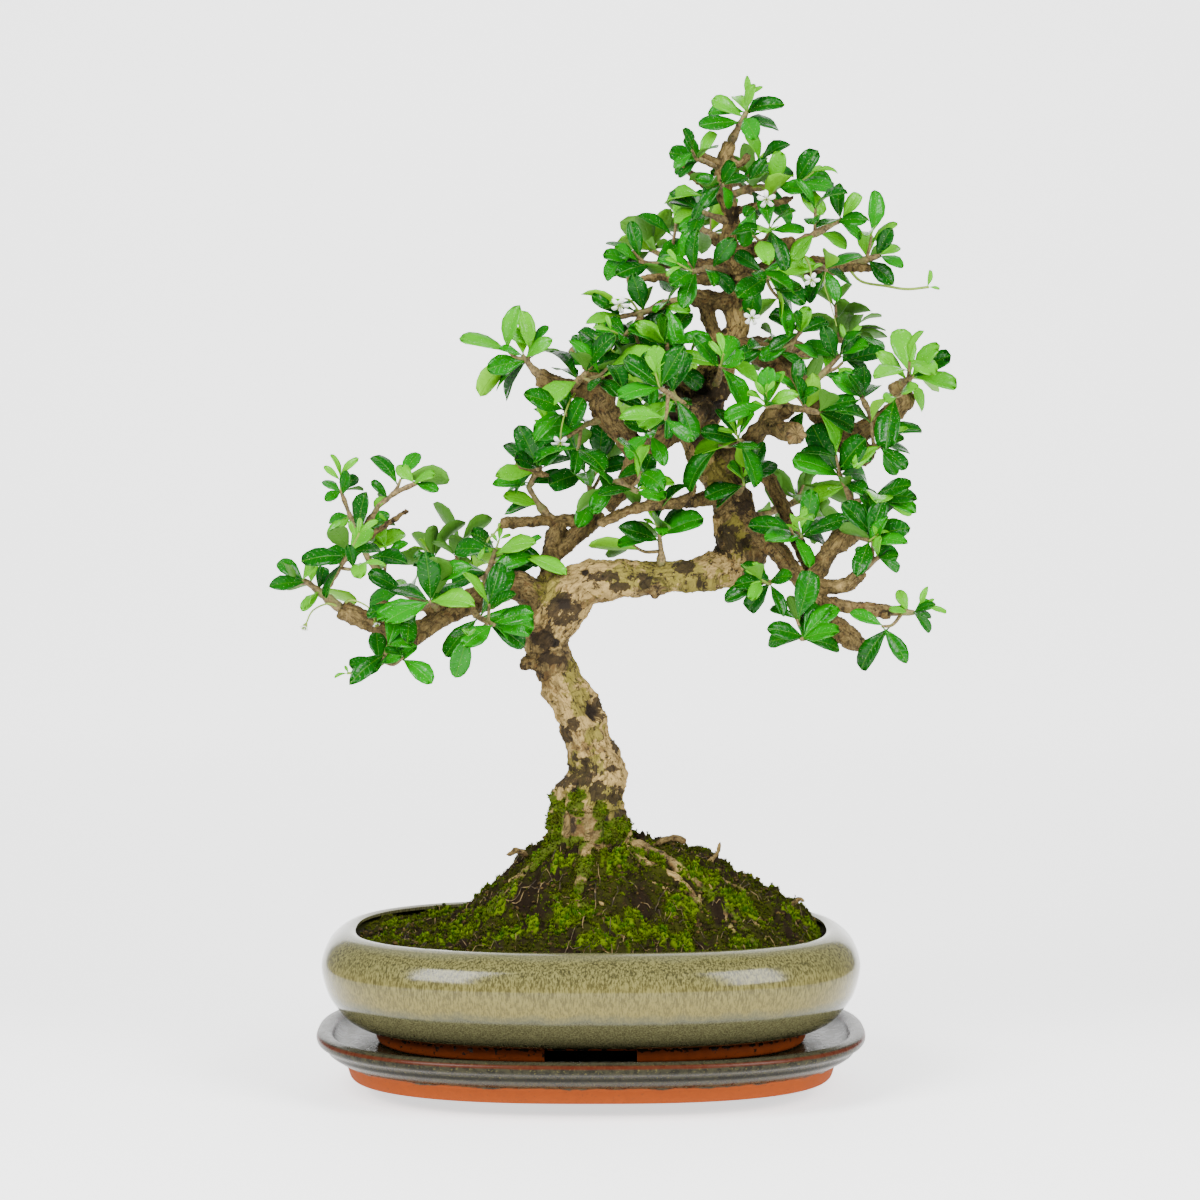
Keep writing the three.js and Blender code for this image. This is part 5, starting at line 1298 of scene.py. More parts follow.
def make_bark_finish(settings):
    """Flaking bark, pale on the trunk and brown on the limbs, with dark crusts, scars, green growth and
    painted shade in its hollows.
    """
    finish = Finish("bonsai_bark", Roughness=0.85, Specular_IOR_Level=0.22)
    place = finish.place()
    grain = finish.attribute("grain", "Vector")
    covers = [finish.attribute(name, "Fac") for name in BARK_LAYERS]
    scar, painted_hollow_shade, limb, root, moss, crust, rust, lichen = covers
    lengthwise = scaled(grain, (0.35, 1, 1))
    plates = cells(lengthwise, 3.6, "DISTANCE_TO_EDGE")
    fine = clouds(lengthwise, 1.2, 5, 0.7)
    blots = clouds(place, 5, 5, 0.65)
    patches = clouds(place, 15, 4, 0.6)
    flecks = clouds(scaled(grain, (0.6, 1, 1)), 2.4, 4, 0.72)
    pits = cells(scaled(grain, (0.7, 1, 1)), 2.6)
    pale = shades(step(fine, 0.3, 0.7), settings.pale_bark, 0.58, 1.12)
    brown = shades(step(fine, 0.3, 0.7), settings.brown_bark, 0.34, 1.75)
    mixed = limb * 0.75 + (patches - 0.5) * 1.5
    colour = blend(step(mixed, 0.15, 0.6), pale, brown)
    reddish = step(blots + (patches - 0.5) * 0.4 + rust * 0.16, 0.55, 0.63) * 0.7
    colour = blend(reddish, colour, tint(84, 60, 28))
    olive = step(blots * 0.5 + flecks * 0.5 + lichen * 0.24 - limb * 0.05, 0.54, 0.66) * 0.8
    colour = blend(olive, colour, blend(fine, tint(46, 50, 6), tint(136, 126, 44)))
    dark = step(flecks + (patches - 0.5) * 0.5 + crust * 0.26, 0.57, 0.65) * 0.92
    colour = blend(dark, colour, blend(fine, tint(14, 10, 4), tint(50, 36, 17)))
    cracks = step(plates, 0.09, 0.01) * step(flecks, 0.42, 0.56) * 0.6
    colour = blend(cracks, colour, tint(30, 21, 10))
    holes = step(pits, 0.24, 0.12) * step(blots, 0.5, 0.58)
    colour = blend(holes * 0.85, colour, tint(18, 13, 6))
    # Painted shade: darker where the bark lies low between its ridges, flakes and ribs.
    colour = blend(painted_hollow_shade * 0.6, colour, tint(28, 20, 9))
    earthy = blend(step(fine, 0.35, 0.7), tint(22, 15, 6), tint(94, 72, 36))
    colour = blend(step(root + (blots - 0.5) * 0.7, 0.25, 0.7), colour, earthy)
    colour = blend(step(scar, 0.15, 0.8), colour, settings.scar)
    bright = blend(fine, tint(20, 30, 1), tint(84, 100, 3))
    colour = blend(step(moss, 0.1, 0.45), colour, bright)
    finish.bump(fine * 0.45 + step(plates, 0, 0.12) * 0.35 + flecks * 0.45 + blots * 0.5, 1.2, 0.95)
    return finish.set(Base_Color=colour)


class BONSAI_OT_wood(Operator):
    """Add the trunk with its limbs, stubs and surface roots"""
    bl_idname = "bonsai.wood"
    bl_label = "Wood"

    def execute(self, context):
        settings = context.scene.bonsai_wood
        routes = wood_routes()
        limbs = 1 + len(LIMBS) + len(STUBS)
        rough = rod_form([stretch_of(route, 3) for route in routes], 20)
        mesh = finished_mesh(rough, "rough_wood")
        mesh = with_modifier(mesh, "REMESH", mode="VOXEL", voxel_size=settings.voxel)

        axes, samples = self.sample_axes(routes)
        bm = bmesh.new()
        bm.from_mesh(mesh)
        back = Matrix.Scale(1 / MM, 4) @ Matrix.Translation((-CENTRE_X, 0, 0))
        bmesh.ops.transform(bm, matrix=back, verts=bm.verts)
        bmesh.ops.smooth_vert(
            bm, verts=bm.verts, factor=0.5, use_axis_x=True, use_axis_y=True, use_axis_z=True)
        grain_layer = bm.verts.layers.float_vector.new("grain")
        layers = {name: bm.verts.layers.float.new(name) for name in BARK_LAYERS}
        bm.normal_update()
        moves = []
        for vert in bm.verts:
            co = vert.co
            best = None
            kinds = []
            for spot, index, distance in axes.find_n(co, NEAREST_AXES):
                gap = distance - samples[index][2]
                kinds.append((math.exp(-gap), self.kind_of(samples[index][0], co.z, limbs)))
                if best is None or gap < best[0]:
                    best = (gap, spot, index)
            total = sum(weight for weight, _ in kinds)
            limb, root = (sum(weight * kind[i] for weight, kind in kinds) / total for i in (0, 1))
            number, run, radius = samples[best[2]]
            out = (co - best[1]).normalized()
            along = run + GRAIN_SHIFT * number
            grain = Vector((along, out.x * radius, out.y * radius + out.z * radius * 0.7))
            thick = min(radius / 10, 1.3)
            turn = math.atan2(out.y, out.x)
            ribs = math.cos(7 * turn + 0.6 + 1.3 * noise.noise(co / 20)) if number == 0 else 0
            ribs *= smooth(168 - co.z, 0, 40)
            swell = radius * (0.12 * ribs + GNARL * bumps(co, 11 if number == 0 else 7) * 0.9)
            lumps = 1.5 * thick * noise.noise(co / 7)
            knobs = 3.4 * thick * max(noise.noise(co / 9 + Vector((3, 1, 7))) - 0.2, 0)
            ridges = noise.noise(Vector((along / 9, grain.y / 2.8, grain.z / 2.8)))
            ridge = 1.5 * thick ** 0.5 * (abs(ridges) - 0.22)
            flake = 0.8 * noise.noise(Vector((along / 4, grain.y / 2.2, grain.z / 2.2)))
            craggy = limb * (1.1 * abs(noise.noise(co / 3.2)) + 1.6 * max(noise.noise(co / 5.5) - 0.1, 0))
            crust = self.patch_on(co, vert.normal, CRUSTS)
            craggy += crust * (1.3 * noise.noise(co / 2.6) + 0.4)
            move = swell + lumps + knobs + ridge + flake + craggy
            root *= smooth(118 - co.z, 0, 12)
            worn = 0.85 * smooth(ribs, 0.15, 0.6) * smooth(co.z, 114, 120)
            moss = self.moss_on(co, vert.normal) * (1 - worn)
            if 0 < number < limbs:
                moss = 0
            moss = max(moss, 0.8 * root * smooth(noise.noise(co / 9) + 0.6 * noise.noise(co / 3), -0.3, 0.2))
            move += 1.3 * moss * (1 + 0.5 * noise.noise(co / 2.4))
            push, scar = self.scar_on(co, vert.normal)
            move += push
            # Painted shade for the finish: how far a place lies below the bark's ridges, flakes and ribs.
            painted_hollow_shade = smooth(-(ridge + flake + lumps * 0.3) - 0.7 * min(ribs + 0.4, 0), 0.15, 0.8)
            vert[grain_layer] = grain
            rust = self.patch_on(co, vert.normal, RUSTS)
            lichen = self.patch_on(co, vert.normal, LICHENS)
            for name, value in zip(BARK_LAYERS, (scar, painted_hollow_shade, limb, root, moss, crust, rust, lichen)):
                vert[layers[name]] = value
            moves.append(vert.normal * move)
        for vert, move in zip(bm.verts, moves):
            vert.co += move
        self.add_moss(bm, layers["moss"], context.scene.bonsai_soil)
        add_form("bonsai_wood", bm, make_bark_finish(settings), ["trunk"])
        return {"FINISHED"}

    def sample_axes(self, routes):
        """Points along the routes in a search tree, each with its route, its run and its radius."""
        axes = kdtree.KDTree(sum(math.ceil(route.length / AXIS_STEP) + 1 for route in routes))
        samples = []
        for number, route in enumerate(routes):
            count = math.ceil(route.length / AXIS_STEP)
            for i in range(count + 1):
                share = i / count
                axes.insert(route.at(share), len(samples))
                samples.append((number, share * route.length, route.radius(share)))
        axes.balance()
        return axes, samples

    def scar_on(self, co, normal):
        """How far the dips and scars of the front move a place out, and how dark they make it."""
        push = 0
        scar = 0
        if normal.y < 0.25:
            for across, height, half_width, half_height, depth in SCARS:
                away = math.hypot((co.x - across) / half_width, (co.z - height) / half_height)
                away += 0.5 * noise.noise(co / 3)
                if away < SCAR_REACH:
                    dip = math.exp(-away ** 4)
                    lip = math.exp(-((away - 1.45) / 0.3) ** 2)
                    push += 0.28 * depth * lip - depth * dip
                    scar = max(scar, dip)
        return push, scar

    def kind_of(self, number, height, limbs):
        """How much the wood is a limb and how much a root, from 0 to 1 each."""
        if number == 0:
            return 0.5 * smooth(height, 300, 470), 0
        if number < limbs:
            return 0.85, 0
        if number == limbs or number >= limbs + len(ROOTS):
            return 0.3, 0.35
        return 0.6, 1

    def patch_on(self, co, normal, patches):
        """How much one of the patches on the front covers a place."""
        edge = 0.6 * noise.noise(co / 6) + 0.5 * noise.noise(co / 2.5)
        most = 0
        if normal.y < 0.5:
            for across, height, half_width, half_height in patches:
                away = math.hypot((co.x - across) / half_width, (co.z - height) / half_height)
                if away < 2:
                    most = max(most, smooth(1.1 + edge - away, 0, 0.4))
        return most

    def moss_on(self, co, normal):
        """How thick the moss is on the wood."""
        if co.z > 175:
            return 0
        edge = 0.45 * noise.noise(co / 6) + 0.3 * noise.noise(co / 2.5)
        most = self.patch_on(co, normal, WOOD_MOSS)
        elsewhere = smooth(noise.noise(co / 13 + Vector((5, 5, 5))) + edge * 0.5, 0.1, 0.35)
        elsewhere *= smooth(150 - co.z, 0, 18)
        return max(most, elsewhere * (0.9 if normal.y > 0 else 0.5))

    def add_moss(self, wood, moss_layer, settings):
        """Adds moss sprigs where moss grows on the wood."""
        dice = random.Random(5)
        bm = bmesh.new()
        layers = moss_layers(bm)
        for vert in wood.verts:
            moss = vert[moss_layer]
            if moss > 0.25 and dice.random() < 0.9 * moss:
                wander = Vector((dice.uniform(-0.5, 0.5), dice.uniform(-0.5, 0.5), dice.uniform(-0.5, 0.5)))
                lit = smooth(noise.noise(vert.co / 5) + 0.5 * noise.noise(vert.co / 2), -0.35, 0.25)
                add_sprig(bm, layers, vert.co + wander - vert.normal * 0.3, vert.normal + Vector((0, 0, 0.4)),
                          dice.uniform(0.9, 1.9), 5, dice.uniform(0.3, 1.2) * moss * lit)
        add_form("moss_on_wood", bm, make_moss_finish(settings), smooth_shading=False)


# Leaves

# Rows of a leaf: share of its length, share of its half width
BLADE_ROWS = (
    (0, 0.05), (0.1, 0.09), (0.27, 0.48), (0.48, 0.9), (0.68, 1), (0.85, 0.76), (0.95, 0.42), (1, 0.12),
)
BLADE_COLUMNS = 4
# Points that stand for a leaf where its room is checked, written like the rows
BLADE_SPREAD = (
    (0.3, 0), (0.5, -0.6), (0.5, 0.6), (0.5, 0), (0.7, -0.9), (0.7, 0), (0.7, 0.9), (0.9, -0.4), (0.9, 0.4),
    (1, 0),
)
SPREAD_MIDDLE = 5

# Extra leaves of a tuft: lean, then how far the upper side faces the viewer and the sky
EXTRA_STANDS = (
    (-30, -0.3, 1), (55, 0.3, 0.9), (-64, -0.9, 0.5), (12, -0.15, 1), (-8, -0.9, 0.4), (74, 0.8, 0.6),
    (-42, -0.5, 0.8), (32, -0.4, 0.9), (-80, -0.8, 0.6), (60, 0.9, 0.3), (-18, 0.2, 1), (24, 0.6, 0.8),
)
LEAF_SPACING = 1.5
BACK_DEPTH = 22
STRAY = 0.006
CLEAR_HALF_WIDTH = 9
OPEN_FROM = 55
# The keys of the leaves' random draws start here for each kind that the frame hasn't got
EXTRA_KEYS = 5000
TUFT_KEYS = 9000
SIDE_KEYS = 14000
SPROUT_KEYS = 40000
SPROUT_SHARE = 0.42
SPROUT_RADII = (0.7, 0.6, 0.5)
SIDE_TWIG_RADII = (1.1, 0.95, 0.75)


class Twig:
    """One twig of a shoot, with the tufts that grow on it."""

    def __init__(self, points, radius, tufts):
        self.route = Route([seen(*point) for point in points])
        self.root_radius = radius
        self.tufts = tufts
        self.out = 0

    def radius(self, share):
        """The twig's radius at a share of its length."""
        return self.root_radius + (TWIG_TIP_RADIUS - self.root_radius) * share

    def point(self, share):
        """A point on the straight lines between the middles of the frame's twig rings."""
        steps = max(1, round(self.route.length / TWIG_STEP))
        before = min(math.floor(share * steps), steps - 1)
        return self.route.at(before / steps).lerp(self.route.at((before + 1) / steps), share * steps - before)

    def leave(self, timber):
        """Finds where the twig comes out of the limbs."""
        run = 0
        while timber.gap([self.route.at(run / self.route.length)]) <= SEAT_GAP:
            run += 0.5
        self.out = run / self.route.length


class Shoot:
    """One leafy shoot: its twigs, the places of its leaves, and the routes of its side twigs and sprouts."""

    def __init__(self, name, twigs):
        self.name = name
        self.twigs = twigs
        self.stands = []
        self.side_twigs = []
        self.sprouts = []


class Leaf:
    """What a tuft asks of a leaf: its root, its clock angle, its lean and its length."""

    def __init__(self, key, root, clock, lean, length, facing=None, rise=0.62):
        self.rise = rise
        self.key = key
        self.root = root
        self.clock = clock
        self.lean = lean
        self.length = length
        self.facing = facing or (0.85 if root.y > BACK_DEPTH else -0.85)

    def stand(self, attempt):
        """One try at the leaf's place."""
        loosen = 0.4 + 0.12 * attempt + (0.5 if self.key >= EXTRA_KEYS else 0)
        clock = math.radians(self.clock + 14 * loosen * swing(self.key, attempt, 1))
        lean = math.radians(self.lean + 26 * loosen * swing(self.key, attempt, 2))
        along = Vector((math.cos(clock) * math.cos(lean), math.sin(lean), math.sin(clock) * math.cos(lean)))
        facing = self.facing + 0.35 * swing(self.key, attempt, 4)
        up = Vector((0.45 * swing(self.key, attempt, 3), facing, self.rise))
        up = (up - along * up.dot(along)).normalized()
        length = self.length * (0.98 + 0.1 * swing(self.key, 0, 6)) * (0.85 if attempt > 8 else 1)
        return Stand(self.key, self.root, along, up, length)


class Stand:
    """A leaf's place: its root, the way it points, its upper side and its length."""

    def __init__(self, key, root, along, up, length):
        self.key = key
        self.root = root
        self.along = along
        self.up = up
        self.across = along.cross(up)
        self.length = length
        self.half = length * BLADE_WIDTH / 2

    def frame_corners(self):
        """The corners that the leaf has in the frame."""
        corners = []
        for share, side, lift in BLADE_RIM:
            wave = 0.02 * swing(self.key, share * 10, side * 3) if 0.3 < share < 0.95 else 0
            base = self.root + self.along * (share * self.length) + self.across * (side * self.half)
            for rise in (-BLADE_THICKNESS / 2, BLADE_THICKNESS / 2):
                corners.append(base + self.up * ((lift + wave) * self.length + rise))
        return corners

    def spread(self):
        """Points spread over the leaf, apart from its stalk."""
        return [
            self.root + self.along * (share * self.length) + self.across * (side * self.half)
            + self.up * (0.04 * self.length)
            for share, side in BLADE_SPREAD
        ]


def leaf_form():
    """An empty bmesh with the attributes that leaves carry."""
    bm = bmesh.new()
    bm.verts.layers.float_color.new("blade")
    bm.verts.layers.float.new("under")
    return bm


def leaf_template():
    """A closed leaf, flat, with its length along x from 0 to 1 and its half width along y."""
    bm = bmesh.new()
    rows = len(BLADE_ROWS) - 1
    bmesh.ops.create_grid(bm, x_segments=rows, y_segments=BLADE_COLUMNS, size=0.5)
    bmesh.ops.translate(bm, vec=(0.5, 0, 0), verts=bm.verts)
    for vert in bm.verts:
        row = round(vert.co.x * rows)
        share, width = BLADE_ROWS[row]
        side = vert.co.y * 2
        bow = 0.035 * (1 - side * side) if row >= rows - 1 else 0
        vert.co = Vector((share + bow - 0.035 * (row == rows), side * width, 0))
    if bm.faces[:][0].normal.z < 0:
        bmesh.ops.reverse_faces(bm, faces=bm.faces)
    wall = bmesh.ops.extrude_face_region(bm, geom=bm.faces[:])
    under = [item for item in wall["geom"] if isinstance(item, bmesh.types.BMVert)]
    bmesh.ops.translate(bm, vec=(0, 0, 1), verts=under)
    bmesh.ops.recalc_face_normals(bm, faces=bm.faces)
    mesh = bpy.data.meshes.new("leaf_template")
    bm.to_mesh(mesh)
    bm.free()
    return mesh


def root_is_behind(twig):
    """Whether a twig grows on the far side of the crown."""
    return twig.route.at(1).y > BACK_DEPTH


def inside_frame(point):
    """Whether a point is inside the frame's box or only a little out of it."""
    place = point * MM + Vector((CENTRE_X, 0, 0))
    return all(low - STRAY < value < high + STRAY for value, low, high in zip(place, *FRAME_BOX))


class Plant:
    """All shoots of the tree with the places of their leaves, worked out once."""

    def __init__(self, extra):
        self.timber = Timber()
        for rows in [TRUNK, *LIMBS]:
            route = limb_route(rows)
            self.timber.add(route, route.radius, 0, GNARL)
        self.shoots = []
        for name, radius, path, tufts, *fork in SHOOTS:
            twigs = [Twig(path, radius, tufts)]
            twigs[0].leave(self.timber)
            if fork:
                twigs.append(Twig(fork[0], FORK_SHARE * radius, fork[1]))
            self.shoots.append(Shoot(name, twigs))
        for shoot in self.shoots:
            for twig in shoot.twigs:
                self.timber.add(twig.route, twig.radius, twig.out, 0)
        self.cloud = np.zeros((0, 3))
        trunk = limb_route(TRUNK)
        self.trunk_line = [trunk.at(i / 60) for i in range(61)]
        self.grow_frame_leaves()
        self.grow_side_twigs()
        self.grow_sprouts()
        self.grow_extra_leaves(extra)

    def grow_frame_leaves(self):
        """Finds the leaves that the frame holds, each by the corners that its node has."""
        for order, shoot in enumerate(self.shoots):
            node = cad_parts["shoot_" + shoot.name].data
            corners = kdtree.KDTree(len(node.vertices))
            for i, vert in enumerate(node.vertices):
                corners.insert((vert.co - Vector((CENTRE_X, 0, 0))) / MM, i)
            corners.balance()
            tufts = sum(len(twig.tufts) for twig in shoot.twigs)
            number = 0
            for twig in shoot.twigs:
                for index, length, *clocks in twig.tufts:
                    outer = TUFT_LEAVES if tufts > 1 else LONE_TUFT_LEAVES
                    most = outer if index > 1 else INNER_TUFT_LEAVES
                    for i, clock in enumerate(clocks[:most]):
                        root = self.root_of(twig, index, i - len(clocks) / 2)
                        leaf = Leaf(order * 40 + number, root, clock, LEANS[i], length)
                        number += 1
                        self.match(shoot, leaf, corners)

    def root_of(self, twig, index, steps):
        """A leaf's root on its twig, some steps from the tuft's middle."""
        run = twig.route.length
        share = twig.route.share_of(index) + ROOT_SPACING * steps / run
        return twig.point(min(max(share, twig.out + FIRST_LEAF / run), 1 - 0.6 / run))

    def match(self, shoot, leaf, corners):
        """Keeps the try whose corners are in the frame."""
        best = 1
        found = None
        for attempt in range(ATTEMPTS):
            stand = leaf.stand(attempt)
            hits = sum(corners.find(corner)[2] < 0.12 for corner in stand.frame_corners())
            if hits > best:
                best = hits
                found = stand
        if found:
            self.keep(shoot, found)

    def keep(self, shoot, stand):
        """Adds a leaf to its shoot."""
        shoot.stands.append(stand)
        self.cloud = np.vstack([self.cloud, np.array(stand.spread())])

    def grow_extra_leaves(self, extra):
        """Fills each tuft with the leaves that the frame leaves out."""
        for order, shoot in enumerate(self.shoots):
            number = 0
            for twig in shoot.twigs:
                for index, length, *clocks in twig.tufts:
                    for i, clock in enumerate(clocks[3:]):
                        key = TUFT_KEYS + order * 60 + number
                        number += 1
                        root = self.root_of(twig, index, 1.2 * swing(key, 3, 1))
                        self.fit(shoot, Leaf(key, root, clock, 24 * swing(key, 5, 1), length))
                    for i in range(extra + root_is_behind(twig)):
                        key = EXTRA_KEYS + order * 60 + number
                        number += 1
                        if self.spared(twig.point(1), key):
                            continue
                        clock = clocks[i % len(clocks)] + 70 * swing(key, 1, 1)
                        lean, facing, rise = EXTRA_STANDS[(i + order) % len(EXTRA_STANDS)]
                        if root_is_behind(twig) and facing < 0:
                            facing = -facing
                        lean += 15 * swing(key, 2, 1)
                        root = self.root_of(twig, index, 7 * swing(key, 3, 1))
                        size = length * (0.7 + 0.5 * chance(key, 4, 1))
                        self.fit(shoot, Leaf(key, root, clock, lean, size, facing, rise))

    def grow_side_twigs(self):
        """Adds thin side twigs, with leaves along them, where they have room."""
        for order, shoot in enumerate(self.shoots):
            for number, twig in enumerate((shoot.twigs * 2)[:2]):
                key = SIDE_KEYS + order * 70 + number * 9
                share = twig.out + (0.9 - twig.out) * (0.25 + 0.7 * chance(key, 1, 4))
                root = twig.point(share)
                ahead = (twig.route.at(1) - twig.route.at(0.6)).normalized()
                aside = Vector((swing(key, 2, 4), 0.9 * swing(key, 3, 4), swing(key, 4, 4) + 0.2))
                way = (ahead * 0.5 + aside.normalized()).normalized()
                reach = 9 + 13 * chance(key, 5, 4)
                middle = root + way * reach * 0.55
                tip = root + (way + Vector((0, 0, 0.25))).normalized() * reach
                if self.timber.gap([tip, middle.lerp(tip, 0.5)]) < 1.5 or self.spared(root, key):
                    continue
                side = Route([root, middle, tip], SIDE_TWIG_RADII)
                grown = 0
                for i, place in enumerate((1, 0.92, 0.6)):
                    bend = 2.4 * i + key
                    away = 0.8 * math.sin(bend) * swing(key, i, 7)
                    aside = Vector((0.8 * math.cos(bend), away, 0.7 * math.sin(bend) + 0.1))
                    out = (way * (0.35 + 0.5 * place) + aside).normalized()
                    clock = math.degrees(math.atan2(out.z, out.x))
                    lean = math.degrees(math.asin(out.y))
                    facing = 0.7 if out.y > 0.3 or root.y > BACK_DEPTH else -0.7
                    size = 15 + 15 * chance(key, i, 8)
                    rise = 0.4 + 0.6 * chance(key, i, 9)
                    leaf = Leaf(key + i, side.at(place), clock, lean, size, facing, rise)
                    grown += self.fit(shoot, leaf)
                if grown:
                    shoot.side_twigs.append(side)

    def grow_sprouts(self):
        """Adds a small bright sprout at the end of some twigs."""
        for order, shoot in enumerate(self.shoots):
            for number, twig in enumerate(shoot.twigs):
                key = SPROUT_KEYS + order * 20 + number * 9
                if chance(key, 1, 5) > SPROUT_SHARE:
                    continue
                root = twig.point(1)
                ahead = (root - twig.route.at(0.7)).normalized()
                way = (ahead + Vector((0.5 * swing(key, 2, 5), 0.3 * swing(key, 3, 5), 0.8))).normalized()
                tip = root + way * (6 + 6 * chance(key, 4, 5))
                grown = 0
                for i, turn in enumerate((-38, 4, 42)):
                    clock = math.degrees(math.atan2(way.z, way.x)) + turn
                    size = 8 + 6 * chance(key, i, 6)
                    leaf = Leaf(key + i, root.lerp(tip, 1 - 0.18 * i), clock, 14 * swing(key, i, 7), size)
                    grown += self.fit(shoot, leaf)
                if grown:
                    shoot.sprouts.append(Route([root, root.lerp(tip, 0.5), tip], SPROUT_RADII))

    def spared(self, root, key):
        """Whether a place in the open right half of the crown goes without its extra growth."""
        return root.x > OPEN_FROM and root.y < BACK_DEPTH and chance(key, 8, 4) < 0.6

    def hides(self, point):
        """Whether a leaf would stand before the upper trunk or a flower."""
        near = min(self.trunk_line, key=lambda spot: abs(spot.z - point.z))
        if point.z > 300 and point.y < near.y and abs(point.x - near.x) < CLEAR_HALF_WIDTH:
            return True
        for points, _ in FLOWERS:
            across, depth, height = points[-1]
            if point.y < depth and math.hypot(point.x - across, point.z - height) < CLEAR_HALF_WIDTH:
                return True
        return False

    def fit(self, shoot, leaf):
        """Adds a leaf where it has room, or leaves it out, and returns how many it added."""
        for attempt in range(0, 16, 2):
            stand = leaf.stand(attempt)
            points = np.array(stand.spread())
            if not inside_frame(stand.root + stand.along * stand.length):
                continue
            middle = points[SPREAD_MIDDLE]
            if self.hides(Vector(middle)):
                continue
            near = self.cloud[np.linalg.norm(self.cloud - middle, axis=1) < stand.length]
            apart = np.linalg.norm(near[:, None] - points[None], axis=2).min() if len(near) else 99
            if apart > LEAF_SPACING and self.timber.gap(points[1:]) > 0.3:
                self.keep(shoot, stand)
                return 1
        return 0


def make_leaf_finish(settings):
    """Glossy leaves: tone from the leaf's age, veins and pale dots above, paler and duller below."""
    finish = Finish("fukien_tea_leaf", IOR=1.4, Specular_IOR_Level=0.28)
    tone, share, side = parts(finish.attribute("blade"))
    under = finish.attribute("under", "Fac")
    place = finish.place()
    blots = clouds(place, 7, 3)
    fine = clouds(place, 0.9, 3)
    dots = cells(place, 1.5)
    away = abs(side - 0.5) * 2
    midrib = step(away, 0.08, 0.01)
    slant = (share - away * 0.16) * 9
    rib = abs(slant - finish.node("ShaderNodeMath", {"operation": "ROUND"}, {0: slant})) * 2
    veins = step(rib, 0.26, 0.06) * step(away, 1, 0.6)
    old = blend(step(tone + (blots - 0.5) * 0.25, 0.1, 0.5), settings.dark, settings.middle)
    colour = blend(step(tone + (blots - 0.5) * 0.15, 0.5, 0.95), old, settings.young)
    colour = blend(midrib * 0.22, colour, tint(84, 150, 16))
    colour = blend(veins * 0.14, colour, tint(56, 140, 12))
    speck = step(dots, 0.16, 0.09) * (1 - under)
    colour = blend(speck * 0.4, colour, tint(190, 210, 150))
    pale = blend(step(tone, 0.3, 0.75), tint(66, 116, 26), tint(104, 172, 4))
    colour = blend(under * 0.85, colour, pale)
    puckers = clouds(place, 3.4, 2, 0.4)
    finish.bump((1 - midrib) * 0.5 + (1 - veins) * 0.3 + fine * 0.12 + puckers * 1.3, 0.5, 0.7)
    return finish.set(Base_Color=colour, Roughness=0.17 + under * 0.34 + fine * 0.1)


def make_twig_finish(settings):
    """Thin brown bark that is green near young growth."""
    finish = Finish("twig_bark", Roughness=0.75)
    place = finish.place()
    grain = clouds(place, 1.6, 4)
    blots = clouds(place, 8, 3)
    colour = shades(step(grain, 0.3, 0.7), settings.brown_bark, 0.4, 2)
    colour = blend(step(blots, 0.5, 0.65) * 0.6, colour, tint(104, 110, 52))
    finish.bump(grain, 0.3, 0.8)
    return finish.set(Base_Color=colour)


def make_stalk_finish():
    """Fresh green stalks."""
    return plain_finish("green_stalk", 3, tint(84, 124, 18), tint(140, 164, 52), (0.1, 0.5), Roughness=0.6)


class LeafMaker:
    """Adds leaves of one template to a shoot's bmesh."""

    def __init__(self, thickness):
        self.template = leaf_template()
        self.thickness = thickness
        self.shape = [vert.co.copy() for vert in self.template.vertices]

    def add(self, bm, stand, tone):
        """Adds a leaf, bent to its own arch, fold and waves."""
        blade_layer = bm.verts.layers.float_color["blade"]
        under_layer = bm.verts.layers.float["under"]
        bm.from_mesh(self.template)
        bm.verts.ensure_lookup_table()
        bm.faces.ensure_lookup_table()
        loose = 2.2 if stand.key >= EXTRA_KEYS else 1
        fold = 0.08 + 0.22 * loose * chance(stand.key, 7, 2)
        droop = 0.02 + 0.1 * loose * chance(stand.key, 8, 2)
        blunt = 0.8 + 1.1 * chance(stand.key, 12, 2)
        slim = 1.06 - 0.14 * loose * chance(stand.key, 13, 2)
        if stand.key >= SPROUT_KEYS:
            slim = 0.66
        phase = math.tau * chance(stand.key, 9, 2)
        sway = 0.06 * swing(stand.key, 10, 2)
        twist = 0.3 * swing(stand.key, 11, 2)
        for vert, corner in zip(bm.verts[-len(self.shape):], self.shape):
            share = corner.x
            side = corner.y * slim * (1 + (blunt - 1) * smooth(share, 0.78, 1))
            lift = 0.2 * share * (1 - share) - droop * share ** 3 + fold * abs(side) * BLADE_WIDTH / 2
            lift += 0.02 * math.sin(3 * math.pi * share + phase) * side
            lift += twist * side * share * BLADE_WIDTH / 2
            drift = sway * share * share
            vert.co = (
                stand.root + stand.along * (share * stand.length)
                + stand.across * (side * stand.half + drift * stand.length)
                + stand.up * (lift * stand.length + (0.5 - corner.z) * self.thickness))
            vert[blade_layer] = (tone, share, (side + 1) / 2, 1)
            vert[under_layer] = corner.z
        for face in bm.faces[-len(self.template.polygons):]:
            face.smooth = True


def shoot_tone(name, key):
    """How young a leaf is, from 0 to 1."""
    if key >= SPROUT_KEYS:
        return 1
    if chance(key, 20, 3) < YOUNG_SHOOTS.get(name, YOUNG_SHARE):
        return 0.7 + 0.3 * chance(key, 21, 3)
    return 0.5 * chance(key, 22, 3) ** 1.7


